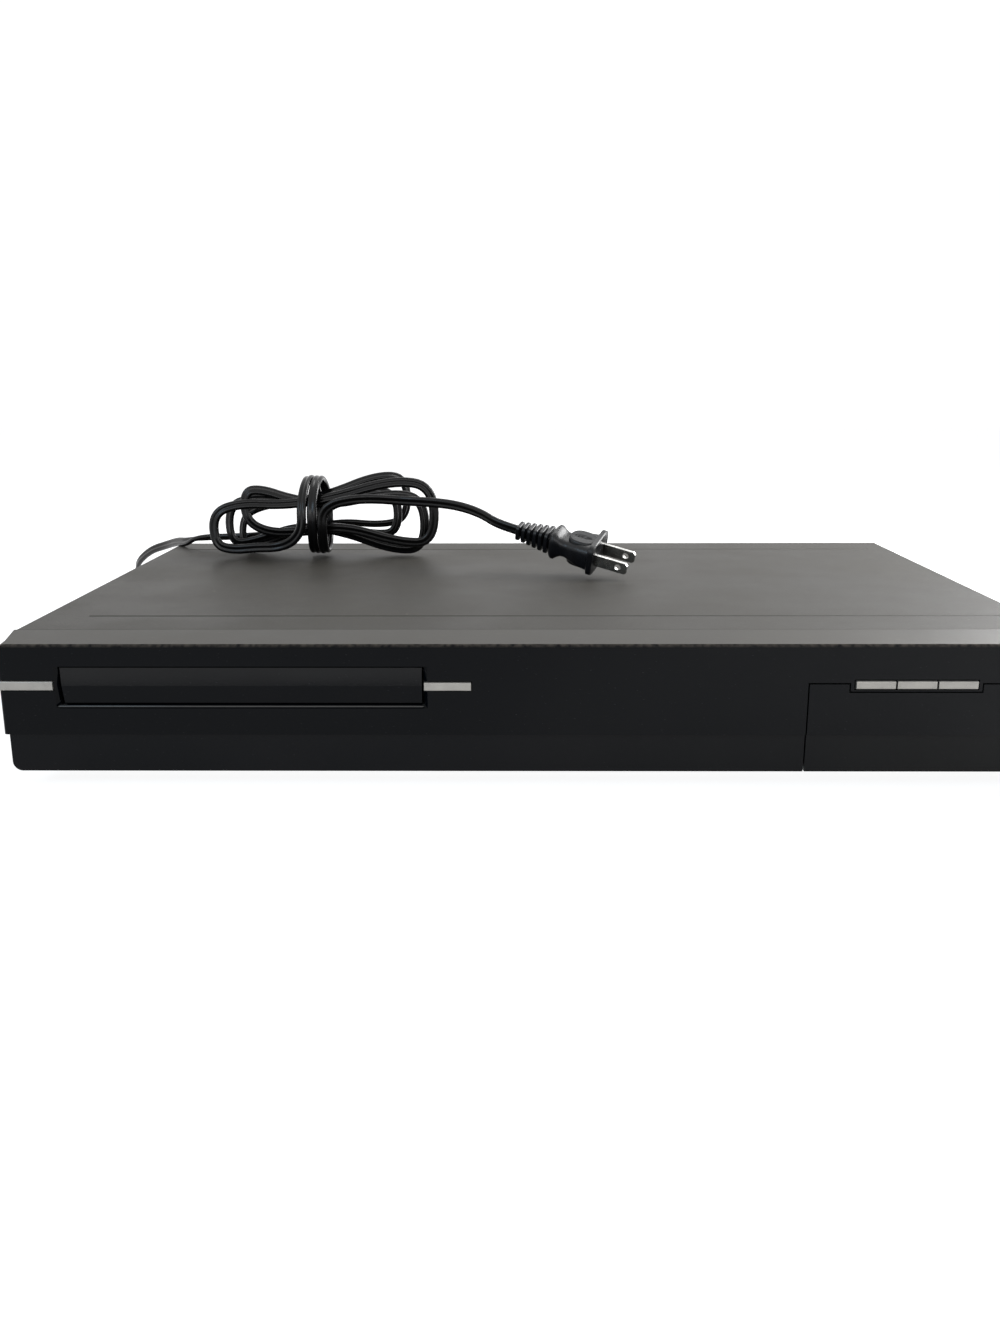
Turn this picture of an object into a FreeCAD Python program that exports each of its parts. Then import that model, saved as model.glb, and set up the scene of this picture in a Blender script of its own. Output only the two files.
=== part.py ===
import FreeCAD
import Part

import math
import os

# A full-width DVD recorder with a hard disc, its mains cord tied in a hank on the cover.
# Millimetres. X runs to the right seen from the front, Y towards the back, Z up.
# The origin is on the floor, under the middle of the case.

V = FreeCAD.Vector
ALONG_X = (1, 0, 0)
ALONG_Y = (0, 1, 0)
ALONG_Z = (0, 0, 1)

# Case
CASE_WIDTH = 435.0
CASE_HEIGHT = 62.0
CASE_DEPTH = 270.0
FOOT_HEIGHT = 7.0
SHEET = 1.0
COVER_INSET = 1.0
PAN_FLANGE = 12.0
BEND_RADIUS = 1.6
JACK_REACH = 8.4
BUTTON_PROUD = 0.8
FIT_GAP = 0.3

FRONT_Y = BUTTON_PROUD - (BUTTON_PROUD + CASE_DEPTH + JACK_REACH) / 2
BACK_Y = FRONT_Y + CASE_DEPTH
HALF_FRONT = CASE_WIDTH / 2
COVER_X = CASE_WIDTH / 2 - COVER_INSET
INNER_X = COVER_X - SHEET
INNER_TOP = CASE_HEIGHT - SHEET
PAN_TOP = FOOT_HEIGHT + SHEET
REAR_INNER = BACK_Y - SHEET

# Grooves pressed across the cover, measured from the front
GROOVE_FROM_FRONT = 47.5
GROOVE_LEFT = 22.5 - HALF_FRONT
GROOVE_RIGHT = HALF_FRONT - 14.5
BACK_GROOVE_FROM_FRONT = CASE_DEPTH - 26.0
BACK_GROOVE_HALF = HALF_FRONT - 13.5
GROOVE_WIDTH = 1.8
GROOVE_DEPTH = 0.5

# Vent slots in the cover's sides and in the floor
SIDE_SLOTS = 12
SIDE_SLOT_PITCH = 8.0
SIDE_SLOT_WIDTH = 3.0
SIDE_SLOT_LOW = 20.0
SIDE_SLOT_HIGH = 34.0
SIDE_SLOT_FIRST = CASE_DEPTH - 120.0
FLOOR_SLOTS = 7
FLOOR_SLOT_PITCH = 9.0
FLOOR_SLOT_WIDTH = 3.5
FLOOR_SLOT_LENGTH = 34.0

# Front moulding
STRIP_DEPTH = 20.0
WINDOW_THICK = 2.0
WALL = 2.5
BEVEL = 1.5
PANEL_BOTTOM = 6.7
PANEL_TOP = CASE_HEIGHT - 1.9
SKIRT_TOP = 22.6
SKIRT_INSET = 3.0
SKIRT_BACK = 1.0
SKIRT_CORNER = 4.0
WINDOW_INSET = 0.9
TOP_CORNER = 4.5
STRIP_THICK = 2.0
STRIP_NARROW = 4.0
TAB_WIDTH = 16.0
TAB_REACH = 6.0

STRIP_BACK = FRONT_Y + STRIP_DEPTH
WALL_FRONT = FRONT_Y + WINDOW_THICK
WALL_BACK = WALL_FRONT + WALL
WINDOW_X = HALF_FRONT - WINDOW_INSET
SKIRT_X = HALF_FRONT - SKIRT_INSET
PAN_FRONT = STRIP_BACK
COVER_FRONT = STRIP_BACK + FIT_GAP

# Tray door in the front plate
DOOR_WIDTH = 146.2
DOOR_LEFT = 25.9 - HALF_FRONT
DOOR_RIGHT = DOOR_LEFT + DOOR_WIDTH
DOOR_LOW = CASE_HEIGHT - 26.0
DOOR_HIGH = CASE_HEIGHT - 11.7
DOOR_FACET = CASE_HEIGHT - 18.9
DOOR_LEAN = 1.5
DOOR_TUCK = 0.4
DOOR_THICK = 5.0
DOOR_WALL = 1.8
DOOR_GAP = 0.8
LIP_CHAMFER = 1.5

# Buttons: left end, right end, bottom and top of each cap
KEY_WIDTH = 15.6
KEY_PITCH = 16.4
KEYS_LEFT = HALF_FRONT - 88.9
KEYS_LOW = CASE_HEIGHT - 20.0
KEYS_TOP = CASE_HEIGHT - 16.7
BUTTONS = {
    "standby_button": (0.5 - HALF_FRONT, 23.2 - HALF_FRONT, CASE_HEIGHT - 20.7, CASE_HEIGHT - 16.9),
    "open_close_button": (DOOR_RIGHT + 1.0, DOOR_RIGHT + 19.8, CASE_HEIGHT - 20.8, CASE_HEIGHT - 17.3),
}
for place, key in enumerate(("play_button", "stop_button", "record_button")):
    left = KEYS_LEFT + place * KEY_PITCH
    BUTTONS[key] = (left, left + KEY_WIDTH, KEYS_LOW, KEYS_TOP)
BUTTON_GAP = 0.35
BUTTON_TRAVEL = 0.8
END_LEG = 0.8
END_INSET = 3.0
NECK_INSET = 3.0
NECK_HEIGHT = 2.0
FLANGE_THICK = 1.0
FLANGE_SPREAD = 1.2
FLANGE_GAP = 0.15
STEM_LENGTH = 2.0
SWITCH_SIZE = 6.0
SWITCH_BODY = 3.5
PLUNGER_RADIUS = 1.5
PLUNGER_LENGTH = 1.2
BOARD = 1.6

STEM_END = WALL_BACK + FLANGE_GAP + FLANGE_THICK + STEM_LENGTH
PLUNGER_TIP = STEM_END + BUTTON_TRAVEL + FIT_GAP / 3
SWITCH_FRONT = PLUNGER_TIP + PLUNGER_LENGTH
FRONT_BOARD_Y = SWITCH_FRONT + SWITCH_BODY

# Flap over the front sockets
FLAP_LEFT = HALF_FRONT - 107.3
FLAP_TOP = CASE_HEIGHT - 18.2
FLAP_GAP = 0.6
FLAP_FACE = 1.2
FLAP_THICK = 3.4
FLAP_AXIS_BACK = 5.8
FLAP_AXIS_UP = 2.6
FLAP_POCKET = 9.0
ISLAND_LEFT = KEYS_LEFT - 2.0
ISLAND_RIGHT = KEYS_LEFT + 50.4
ISLAND_LOW = CASE_HEIGHT - 21.1
ISLAND_DECK = 2.0
SWITCH_ROOM = 0.7
HINGE_RADIUS = 2.0
HINGE_PIN = 1.2
PIN_CLEARANCE = 0.05
EAR_THICK = 2.0
EAR_LEFT = FLAP_LEFT + 5.8
EAR_RIGHT = HALF_FRONT - 7.5
LUG_WIDTH = 3.0

FLAP_AXIS_Y = FRONT_Y + FLAP_AXIS_BACK
FLAP_AXIS_Z = PANEL_BOTTOM + FLAP_AXIS_UP
POCKET_WALL = FRONT_Y + FLAP_POCKET

# Socket bay behind the flap
BAY_LEFT = FLAP_LEFT + 9.8
BAY_RIGHT = HALF_FRONT - 11.5
BAY_LOW = 12.5
BAY_HIGH = CASE_HEIGHT - 25.5
BAY_FLOOR = FRONT_Y + 26.0
BAY_WALL = 2.0

# Display behind the front plate
DISPLAY_LEFT = DOOR_RIGHT + 30.4
DISPLAY_RIGHT = DISPLAY_LEFT + 60.0
DISPLAY_LOW = CASE_HEIGHT - 33.0
DISPLAY_HIGH = CASE_HEIGHT - 12.0
DISPLAY_THICK = 6.0

# Disc loader
LOADER_X = (DOOR_LEFT + DOOR_RIGHT) / 2
LOADER_HALF = 73.0
LOADER_WALL = 2.0
LOADER_LOW = CASE_HEIGHT - 47.5
LOADER_PLATE = 2.0
LOADER_TOP = LOADER_LOW + 32.5
LOADER_FRONT = FRONT_Y + 12.0
LOADER_LENGTH = 168.0
LEDGE_INNER = 62.5
LEDGE_THICK = 2.0
LOADER_BACK = LOADER_FRONT + LOADER_LENGTH
LOADER_FLOOR = LOADER_LOW + LOADER_PLATE

# Tray
TRAY_HALF = 65.0
TRAY_LENGTH = 165.0
TRAY_LOW = LOADER_LOW + 24.7
TRAY_THICK = 4.0
DISC_RADIUS = 61.0
SMALL_DISC_RADIUS = 41.5
DISC_DEPTH = 1.8
SMALL_DISC_DEPTH = 2.6
DISC_FROM_FRONT = 67.0
SLOT_HALF = 22.0
TRAY_FRONT = FRONT_Y + DOOR_THICK
TRAY_TOP = TRAY_LOW + TRAY_THICK
TRAY_BACK = TRAY_FRONT + TRAY_LENGTH
DISC_Y = TRAY_FRONT + DISC_FROM_FRONT

# Loading gears, all of module one
MODULE = 1.0
BACKLASH = 0.35
PINION_TEETH = 18
WHEEL_TEETH = 28
SMALL_TEETH = 10
RACK_LINE = LOADER_X - 56.0
RACK_BACK = 4.0
RACK_DEPTH = 3.6
PINION_FROM_FRONT = 31.0
WHEEL_LOW = LOADER_LOW + 11.5
WHEEL_THICK = 3.0
PULLEY_LOW = LOADER_LOW + 5.5
PULLEY_THICK = 4.6
PULLEY_RADIUS = 10.5
MOTOR_PULLEY_RADIUS = 4.0
PULLEY_SPACING = 36.0
BELT_SECTION = 1.4
AXLE_RADIUS = 1.5
LOADING_MOTOR_RADIUS = 10.0
LOADING_MOTOR_LENGTH = 9.5

PINION_Y = FRONT_Y + PINION_FROM_FRONT
PINION_X = RACK_LINE + MODULE * PINION_TEETH / 2
SMALL_X = PINION_X + MODULE * (WHEEL_TEETH + SMALL_TEETH) / 2
MOTOR_X = SMALL_X + PULLEY_SPACING

# Traverse: the frame that lifts the turntable to the disc
TRAVERSE_HALF = 33.0
TRAVERSE_LOW = LOADER_LOW + 14.5
TRAVERSE_THICK = 3.0
TRAVERSE_RAIL = 3.0
TRAVERSE_TILT = 5.0
TRAVERSE_AXIS_Z = LOADER_LOW + 16.5
TRAVERSE_PIN = 2.0
TRAVERSE_AXIS_FROM_FRONT = 166.0
CAM_THICK = 2.5
CAM_TRAVEL = 28.0
CAM_PIN = 1.5
CAM_PIN_OFFSET = 22.0
CAM_CLEARANCE = 0.35
CAM_TOP = LOADER_LOW + 21.5
CAM_FROM_FRONT = 47.4
ROD_OFFSET = 19.0
ROD_RADIUS = 1.5
ROD_Z = LOADER_LOW + 19.3
SCREW_OFFSET = 27.0
SCREW_RADIUS = 1.5
SLED_FROM_DISC = 17.0
SLED_LENGTH = 24.0
SLED_TRAVEL = 33.0
TURNTABLE_RADIUS = 15.0
TURNTABLE_LOW = LOADER_LOW + 22.9
TURNTABLE_TOP = LOADER_LOW + 27.4
CONE_RADIUS = 7.3
CONE_TOP = LOADER_LOW + 29.7

TRAVERSE_AXIS_Y = FRONT_Y + TRAVERSE_AXIS_FROM_FRONT
CAM_Y = FRONT_Y + CAM_FROM_FRONT
TRAVERSE_FRONT = CAM_Y + CAM_THICK + 1.0
SLED_WINDOW = (DISC_Y + SLED_FROM_DISC - 2.0, DISC_Y + SLED_FROM_DISC + SLED_LENGTH + SLED_TRAVEL + 2.0)

# Clamper and its bridge
BRIDGE_HALF = 16.0
BRIDGE_FLANGE = 4.0
CLAMP_HOLE = 11.0
CLAMP_RADIUS = 14.0
CLAMP_NECK = 9.0
CLAMP_FLANGE = 13.0
CLAMP_LOW = LOADER_LOW + 29.2
CLAMP_THICK = 2.8
CLAMP_FLANGE_THICK = 1.5
SEAT_GAP = 0.1

# Boards and what stands on them
BOARD_POST = 7.0
BOARD_Z = PAN_TOP + BOARD_POST
BOARD_TOP = BOARD_Z + BOARD
POST_RADIUS = 3.0
BOARDS_RIGHT = INNER_X - 7.5
MAIN_BOARD = ((BOARDS_RIGHT - 116.0, BOARDS_RIGHT), (FRONT_Y + 46.0, REAR_INNER - 75.0))
POWER_BOARD = ((-BOARDS_RIGHT, 102.0 - BOARDS_RIGHT), (REAR_INNER - 57.0, REAR_INNER - 3.0))
AV_BOARD = ((-38.0, BOARDS_RIGHT), (REAR_INNER - 67.0, REAR_INNER - 1.0))

# Hard disc
HDD_LEFT = -26.0
HDD_WIDTH = 101.6
HDD_LENGTH = 147.0
HDD_HEIGHT = 24.0
HDD_LID = 2.1
HDD_LOW = 14.0
HDD_FROM_FRONT = CASE_DEPTH - 75.0 - HDD_LENGTH

# Rear sockets: the RCA jacks stand in columns
RCA_RADIUS = 4.15
RCA_WALL = 0.7
RCA_CORE_HOLE = 1.6
RCA_RING = 5.3
RCA_RING_PROUD = 0.8
RCA_LOW = 23.0
RCA_ROWS = 3
RCA_PITCH = (INNER_TOP - 10.0 - RCA_LOW) / (RCA_ROWS - 1)
RCA_COLUMNS = (42.0, 60.0, 84.0)
BLOCK_WIDTH = 13.0
BLOCK_DEPTH = 14.0
ANTENNA_X = -14.0
ANTENNA_LEVELS = (24.0, INNER_TOP - 18.0)
ANTENNA_RADIUS = 4.7
ANTENNA_HOLE = 1.0
TUNER = ((-34.0, 6.0), (REAR_INNER - 57.0, REAR_INNER), (BOARD_TOP, INNER_TOP - 9.4))
SVIDEO_X = 106.0
HDMI_X = 146.0
HDMI_Z = 25.0
HDMI_WIDTH = 15.0
HDMI_HEIGHT = 5.6
HDMI_WALL = 0.5
HDMI_DEPTH = 12.0
OPTICAL_X = 124.0
CORD_X = 21.5 - HALF_FRONT
CORD_Z = 24.0

# Fan
FAN_X = -72.0
FAN_SIZE = INNER_TOP - 11.0
FAN_Z = PAN_TOP + 1.0 + FAN_SIZE / 2
FAN_THICK = 15.0
FAN_BORE = FAN_SIZE / 2 - 1.6
FAN_TIP = FAN_BORE - 0.8
FAN_HUB = 10.0
FAN_BLADES = 7

# Front sockets behind the flap
FRONT_RCA_X = (BAY_LEFT + 14.0, BAY_LEFT + 30.0, BAY_LEFT + 46.0)
FRONT_RCA_Z = 24.0
FRONT_SVIDEO_X = BAY_LEFT + 64.0

# Mains cord, its hank and its plug
CORD_RADIUS = 2.5
CORD_SIDES = 8
BUSHING_REACH = 8.0
CORD_START = (CORD_X, BACK_Y + BUSHING_REACH, CORD_Z)
CORD_GAP = FIT_GAP
# The hank's loops, back to front: lean in degrees, then each lobe's tip beyond the waist and above it
HANK_LOOPS = [
    (13.0, (54.0, 7.3), (-43.0, -10.7)),
    (4.0, (49.0, -0.7), (-49.0, -4.7)),
    (-9.0, (65.0, -5.7), (-38.0, 6.3)),
    (8.0, (71.0, 0.3), (-55.0, -8.7)),
]
HANK_BACK_Y = BACK_Y - 35.2
LAYER_STEP = 6.4
WAIST_X = CORD_X + 71.0
WAIST_HALF_HEIGHT = 8.0
WAIST_HALF_LENGTH = 4.0
WRAPS = 2
WRAP_STEP = 5.8
WRAP_HALF_HEIGHT = 20.9
WRAP_ROOM = 8.2

HANK_Z = CASE_HEIGHT + CORD_GAP + CORD_RADIUS + WRAP_HALF_HEIGHT
HANK_HALF_DEPTH = len(HANK_LOOPS) * LAYER_STEP / 2
HANK_Y = HANK_BACK_Y - HANK_HALF_DEPTH + 0.6

# Plug: middle of its face, the way it points and the way its two blades stand apart
PLUG_FACE = (WAIST_X + 161.0, HANK_BACK_Y - 85.7, CASE_HEIGHT + 11.5)
PLUG_ALONG = (0.914, -0.335, -0.228)
PLUG_ACROSS = (0.39, 0.85, 0.33)
PLUG_WIDTH = 25.0
PLUG_HEIGHT = 16.0
PLUG_LENGTH = 26.0
PLUG_PLATE = 3.2
RELIEF_LENGTH = 20.0
RELIEF_RIBS = 6
RELIEF_BACK_RADIUS = 3.4
RELIEF_FRONT_RADIUS = 4.6
RELIEF_RIB = 0.9
BLADE_SPACING = 12.7
BLADE_WIDTH = 6.3
BLADE_THICK = 1.5
BLADE_LENGTH = 17.5
BLADE_HOLE = 1.6
BLADE_HOLE_FROM_FACE = 12.5

solids = {}


def box(x, y, z):
    """A block between a pair of limits along each axis."""
    return Part.makeBox(x[1] - x[0], y[1] - y[0], z[1] - z[0], V(x[0], y[0], z[0]))


def rod(start, direction, radius, length):
    return Part.makeCylinder(radius, length, V(*start), V(*direction))


def prism(outline, reach):
    """A flat outline pushed along reach."""
    corners = [V(*point) for point in outline]
    face = Part.Face(Part.makePolygon(corners + corners[:1]))
    return face.extrude(V(*reach))


def join(first, *others):
    return first.fuse(list(others)).removeSplitter()


def span(middle, size):
    return (middle - size / 2, middle + size / 2)


def grown(limits, by):
    return (limits[0] - by, limits[1] + by)


def edges_along(shape, axis, test):
    """Straight edges parallel to an axis (0, 1 or 2) whose middle passes the test."""
    chosen = []
    for edge in shape.Edges:
        low, high = edge.Vertexes[0].Point, edge.Vertexes[-1].Point
        run = [abs(high[i] - low[i]) for i in range(3)]
        if run[axis] > 0.5 * edge.Length and sum(run) - run[axis] < 1e-6 and test(edge.CenterOfMass):
            chosen.append(edge)
    return chosen


def boards_posts():
    """Places of the posts that carry the boards, the loader and the hard disc, with their heights."""
    places = []
    for (x0, x1), (y0, y1) in (MAIN_BOARD, POWER_BOARD, AV_BOARD):
        for x in (x0 + 8.0, x1 - 8.0):
            for y in (y0 + 8.0, y1 - 8.0):
                places.append((x, y, BOARD_Z))
    for x in (LOADER_X - LOADER_HALF + 6.0, LOADER_X + LOADER_HALF - 6.0):
        for y in (LOADER_FRONT + 12.0, LOADER_BACK - 12.0):
            places.append((x, y, LOADER_LOW))
    for x in (HDD_LEFT + 10.0, HDD_LEFT + HDD_WIDTH - 10.0):
        for y in (FRONT_Y + HDD_FROM_FRONT + 15.0, FRONT_Y + HDD_FROM_FRONT + HDD_LENGTH - 15.0):
            places.append((x, y, HDD_LOW))
    return places


FEET_X = HALF_FRONT - 31.5
FEET = [(x, y) for x in (-FEET_X, FEET_X) for y in (FRONT_Y + 46.0, BACK_Y - 34.0)]
FOOT_TOP_RADIUS = 9.5
FOOT_BASE_RADIUS = 8.5
FOOT_STEM = 3.0


def chassis_pan():
    pan = box((-INNER_X, INNER_X), (PAN_FRONT, BACK_Y), (FOOT_HEIGHT, PAN_TOP))
    walls = [
        box((side, side + SHEET), (PAN_FRONT, REAR_INNER), (PAN_TOP, PAN_TOP + PAN_FLANGE))
        for side in (-INNER_X, INNER_X - SHEET)
    ]
    loader = grown(span(LOADER_X, 2 * LOADER_HALF), 1.0)
    for x in ((-INNER_X, loader[0]), (loader[1], BAY_LEFT - 8.0)):
        walls.append(box(x, (PAN_FRONT, PAN_FRONT + SHEET), (PAN_TOP, PAN_TOP + PAN_FLANGE)))
    posts = [rod((x, y, PAN_TOP), ALONG_Z, POST_RADIUS, top - PAN_TOP) for x, y, top in boards_posts()]
    pan = join(pan, *walls, *posts)
    cuts = [rod((x, y, FOOT_HEIGHT - 1), ALONG_Z, FOOT_STEM + SEAT_GAP, SHEET + 2) for x, y in FEET]
    power_middle = sum(POWER_BOARD[0]) / 2 + 7.0
    for middle, depth in ((HDD_LEFT + HDD_WIDTH / 2, FRONT_Y + 120.0), (power_middle, BACK_Y - 40.0)):
        for i in range(FLOOR_SLOTS):
            x = middle + (i - (FLOOR_SLOTS - 1) / 2) * FLOOR_SLOT_PITCH
            slot = box(
                span(x, FLOOR_SLOT_WIDTH), span(depth, FLOOR_SLOT_LENGTH), (FOOT_HEIGHT - 1, PAN_TOP + 1)
            )
            cuts.append(slot)
    return pan.cut(cuts)


def rubber_feet():
    feet = []
    for x, y in FEET:
        foot = Part.makeCone(FOOT_BASE_RADIUS, FOOT_TOP_RADIUS, FOOT_HEIGHT, V(x, y, 0))
        stem = rod((x, y, FOOT_HEIGHT), ALONG_Z, FOOT_STEM, SHEET + 1.5)
        hollow = rod((x, y, 0), ALONG_Z, FOOT_STEM + 1.0, FOOT_HEIGHT / 2)
        feet.append(join(foot, stem).cut(hollow))
    return feet


COVER_LOW = PAN_TOP
SIDE_SCREWS = [(x, y) for x in (-COVER_X, COVER_X) for y in (FRONT_Y + 62.0, BACK_Y - 22.0)]
SIDE_SCREW_Z = PAN_TOP + PAN_FLANGE / 2
REAR_SCREW_X = HALF_FRONT - 11.5
REAR_SCREWS = [(x, z) for x in (-REAR_SCREW_X, 24.0, REAR_SCREW_X) for z in (PAN_TOP + 4.0, INNER_TOP - 7.0)]
SCREW_RADIUS_BIG = 3.0
SCREW_SHANK = 1.4
SCREW_HEAD = 1.0


def top_cover():
    sides = (COVER_FRONT, BACK_Y)
    outer = box((-COVER_X, COVER_X), sides, (COVER_LOW, CASE_HEIGHT))
    outer = outer.makeFillet(BEND_RADIUS, edges_along(outer, 1, lambda p: p.z > CASE_HEIGHT - 1))
    inner = box((-INNER_X, INNER_X), sides, (COVER_LOW - 1, INNER_TOP))
    cover = outer.cut(inner)
    cuts = []
    for from_front, left, right in (
        (GROOVE_FROM_FRONT, GROOVE_LEFT, GROOVE_RIGHT),
        (BACK_GROOVE_FROM_FRONT, -BACK_GROOVE_HALF, BACK_GROOVE_HALF),
    ):
        y = FRONT_Y + from_front
        outline = [
            (left, y - GROOVE_WIDTH / 2, CASE_HEIGHT),
            (left, y + GROOVE_WIDTH / 2, CASE_HEIGHT),
            (left, y, CASE_HEIGHT - GROOVE_DEPTH),
        ]
        cuts.append(prism(outline, (right - left, 0, 0)))
    for i in range(SIDE_SLOTS):
        y = FRONT_Y + SIDE_SLOT_FIRST + i * SIDE_SLOT_PITCH
        cuts.append(box((-CASE_WIDTH, CASE_WIDTH), span(y, SIDE_SLOT_WIDTH), (SIDE_SLOT_LOW, SIDE_SLOT_HIGH)))
    return cover.cut(cuts)


def fan_slots():
    """Slots of the stamped finger guard in front of the fan."""
    slots = []
    pitch = 5.6
    for i in range(-3, 4):
        x = i * pitch
        reach = math.sqrt(FAN_TIP**2 - x**2)
        for low, high in ((-reach, -1.5), (1.5, reach)):
            slots.append(
                box(span(FAN_X + x, pitch - 2.2), grown((REAR_INNER, BACK_Y), 1), (FAN_Z + low, FAN_Z + high))
            )
    return slots


def rca_places():
    """Middle of every rear RCA jack."""
    return [(x, RCA_LOW + row * RCA_PITCH) for x in RCA_COLUMNS for row in range(RCA_ROWS)]


def rear_panel():
    panel = box((-INNER_X, INNER_X), (REAR_INNER, BACK_Y), (PAN_TOP, INNER_TOP))
    through = grown((REAR_INNER, BACK_Y), 1)
    cuts = fan_slots()
    block_low, block_high = RCA_LOW - RCA_PITCH / 2, RCA_LOW + (RCA_ROWS - 0.5) * RCA_PITCH
    for x in RCA_COLUMNS:
        cuts.append(box(span(x, BLOCK_WIDTH), through, (block_low, block_high)))
    cuts.append(box(span(SVIDEO_X, BLOCK_WIDTH), through, (block_low, block_high)))
    cuts.append(box(span(OPTICAL_X, BLOCK_WIDTH), through, (block_low, RCA_LOW + RCA_PITCH / 2)))
    cuts.append(box(span(HDMI_X, HDMI_WIDTH + 0.4), through, span(HDMI_Z, HDMI_HEIGHT + 0.4)))
    for z in ANTENNA_LEVELS:
        cuts.append(rod((ANTENNA_X, REAR_INNER - 1, z), ALONG_Y, ANTENNA_RADIUS + SEAT_GAP, SHEET + 2))
    cuts.append(rod((CORD_X, REAR_INNER - 1, CORD_Z), ALONG_Y, BUSHING_NECK + SEAT_GAP, SHEET + 2))
    for x, z in REAR_SCREWS:
        cuts.append(rod((x, REAR_INNER - 1, z), ALONG_Y, SCREW_SHANK + SEAT_GAP, SHEET + 2))
    return panel.cut(cuts)


def case_screws():
    screws = []
    for x, y in SIDE_SCREWS:
        out = 1 if x > 0 else -1
        screws.append(rod((x, y, SIDE_SCREW_Z), (out, 0, 0), SCREW_RADIUS_BIG, SCREW_HEAD))
    for x, z in REAR_SCREWS:
        head = rod((x, BACK_Y, z), ALONG_Y, SCREW_RADIUS_BIG, SCREW_HEAD)
        screws.append(join(head, rod((x, BACK_Y - 4.0, z), ALONG_Y, SCREW_SHANK, 4.0)))
    return screws


BUSHING_NECK = 5.4


def cord_bushing():
    inside = rod((CORD_X, REAR_INNER - 4.0, CORD_Z), ALONG_Y, BUSHING_NECK + 1.6, 4.0)
    neck = rod((CORD_X, REAR_INNER, CORD_Z), ALONG_Y, BUSHING_NECK, SHEET)
    flange = rod((CORD_X, BACK_Y, CORD_Z), ALONG_Y, BUSHING_NECK + 1.6, 1.6)
    tail = Part.makeCone(
        BUSHING_NECK, CORD_RADIUS + 1.0, BUSHING_REACH, V(CORD_X, BACK_Y, CORD_Z), V(*ALONG_Y)
    )
    return join(inside, neck, flange, tail)


def corner_bevels(front):
    """Cutters that slope the front's upper end corners, running out towards the cover."""
    cutters = []
    for side in (-1, 1):
        sections = []
        for y, inward, down in ((front - 1, STRIP_NARROW, TOP_CORNER), (STRIP_BACK + 1, 0.9, 0.9)):
            edge = side * HALF_FRONT
            outline = [
                V(edge - side * inward, y, CASE_HEIGHT + 1),
                V(edge - side * inward, y, CASE_HEIGHT - 1.4),
                V(edge + side, y, CASE_HEIGHT - 1.4 - down),
                V(edge + side, y, CASE_HEIGHT + 1),
            ]
            sections.append(Part.makePolygon(outline + outline[:1]))
        cutters.append(Part.makeLoft(sections, True, True))
    return cutters


def strip_line(y, drop=0.0):
    """Height of the sloping strip above the front, at a distance y from the origin."""
    share = (y - FRONT_Y - BEVEL) / (STRIP_DEPTH - BEVEL)
    return PANEL_TOP + share * (CASE_HEIGHT - PANEL_TOP) - drop


def top_trim():
    front = FRONT_Y + BEVEL
    outline = [
        (-HALF_FRONT, front, strip_line(front)),
        (-HALF_FRONT, STRIP_BACK, strip_line(STRIP_BACK)),
        (-HALF_FRONT, STRIP_BACK, strip_line(STRIP_BACK, STRIP_THICK)),
        (-HALF_FRONT, front, strip_line(front, STRIP_THICK)),
    ]
    strip = prism(outline, (CASE_WIDTH, 0, 0))
    tops = [point for point in corner_bevels(FRONT_Y)]
    sides = [
        box((side, side + 2.0), (FRONT_Y, STRIP_BACK), (PANEL_BOTTOM, CASE_HEIGHT))
        for side in (-COVER_X - 2.0, COVER_X)
    ]
    return strip.cut(tops + sides)


def tray_opening(by=DOOR_GAP):
    return grown((DOOR_LEFT, DOOR_RIGHT), by), grown((DOOR_LOW, DOOR_HIGH), by)


def button_room(name, gap=BUTTON_GAP):
    left, right, low, high = BUTTONS[name]
    if name == "standby_button":
        left -= 2.0
    return grown((left, right), gap), grown((low, high), gap)


def neck_room(name, gap):
    left, right, low, high = BUTTONS[name]
    if name == "standby_button":
        left += END_INSET
    return (left + NECK_INSET - gap, right - NECK_INSET + gap), grown(
        span((low + high) / 2, NECK_HEIGHT), gap
    )


def island(y):
    """Room for the three buttons, let down into the flap's upper edge."""
    return box((ISLAND_LEFT, ISLAND_RIGHT), y, (ISLAND_LOW, FLAP_TOP + FLAP_GAP + 1))


def flap_recess():
    right = HALF_FRONT + 1
    recess = box((FLAP_LEFT - FLAP_GAP, right), (FRONT_Y - 1, POCKET_WALL), (0, FLAP_TOP + FLAP_GAP))
    ceiling = box(
        (ISLAND_LEFT, ISLAND_RIGHT), (WALL_BACK, POCKET_WALL), (ISLAND_LOW - ISLAND_DECK, FLAP_TOP + FLAP_GAP)
    )
    return recess.cut([island((WALL_FRONT, POCKET_WALL)), ceiling])


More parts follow.
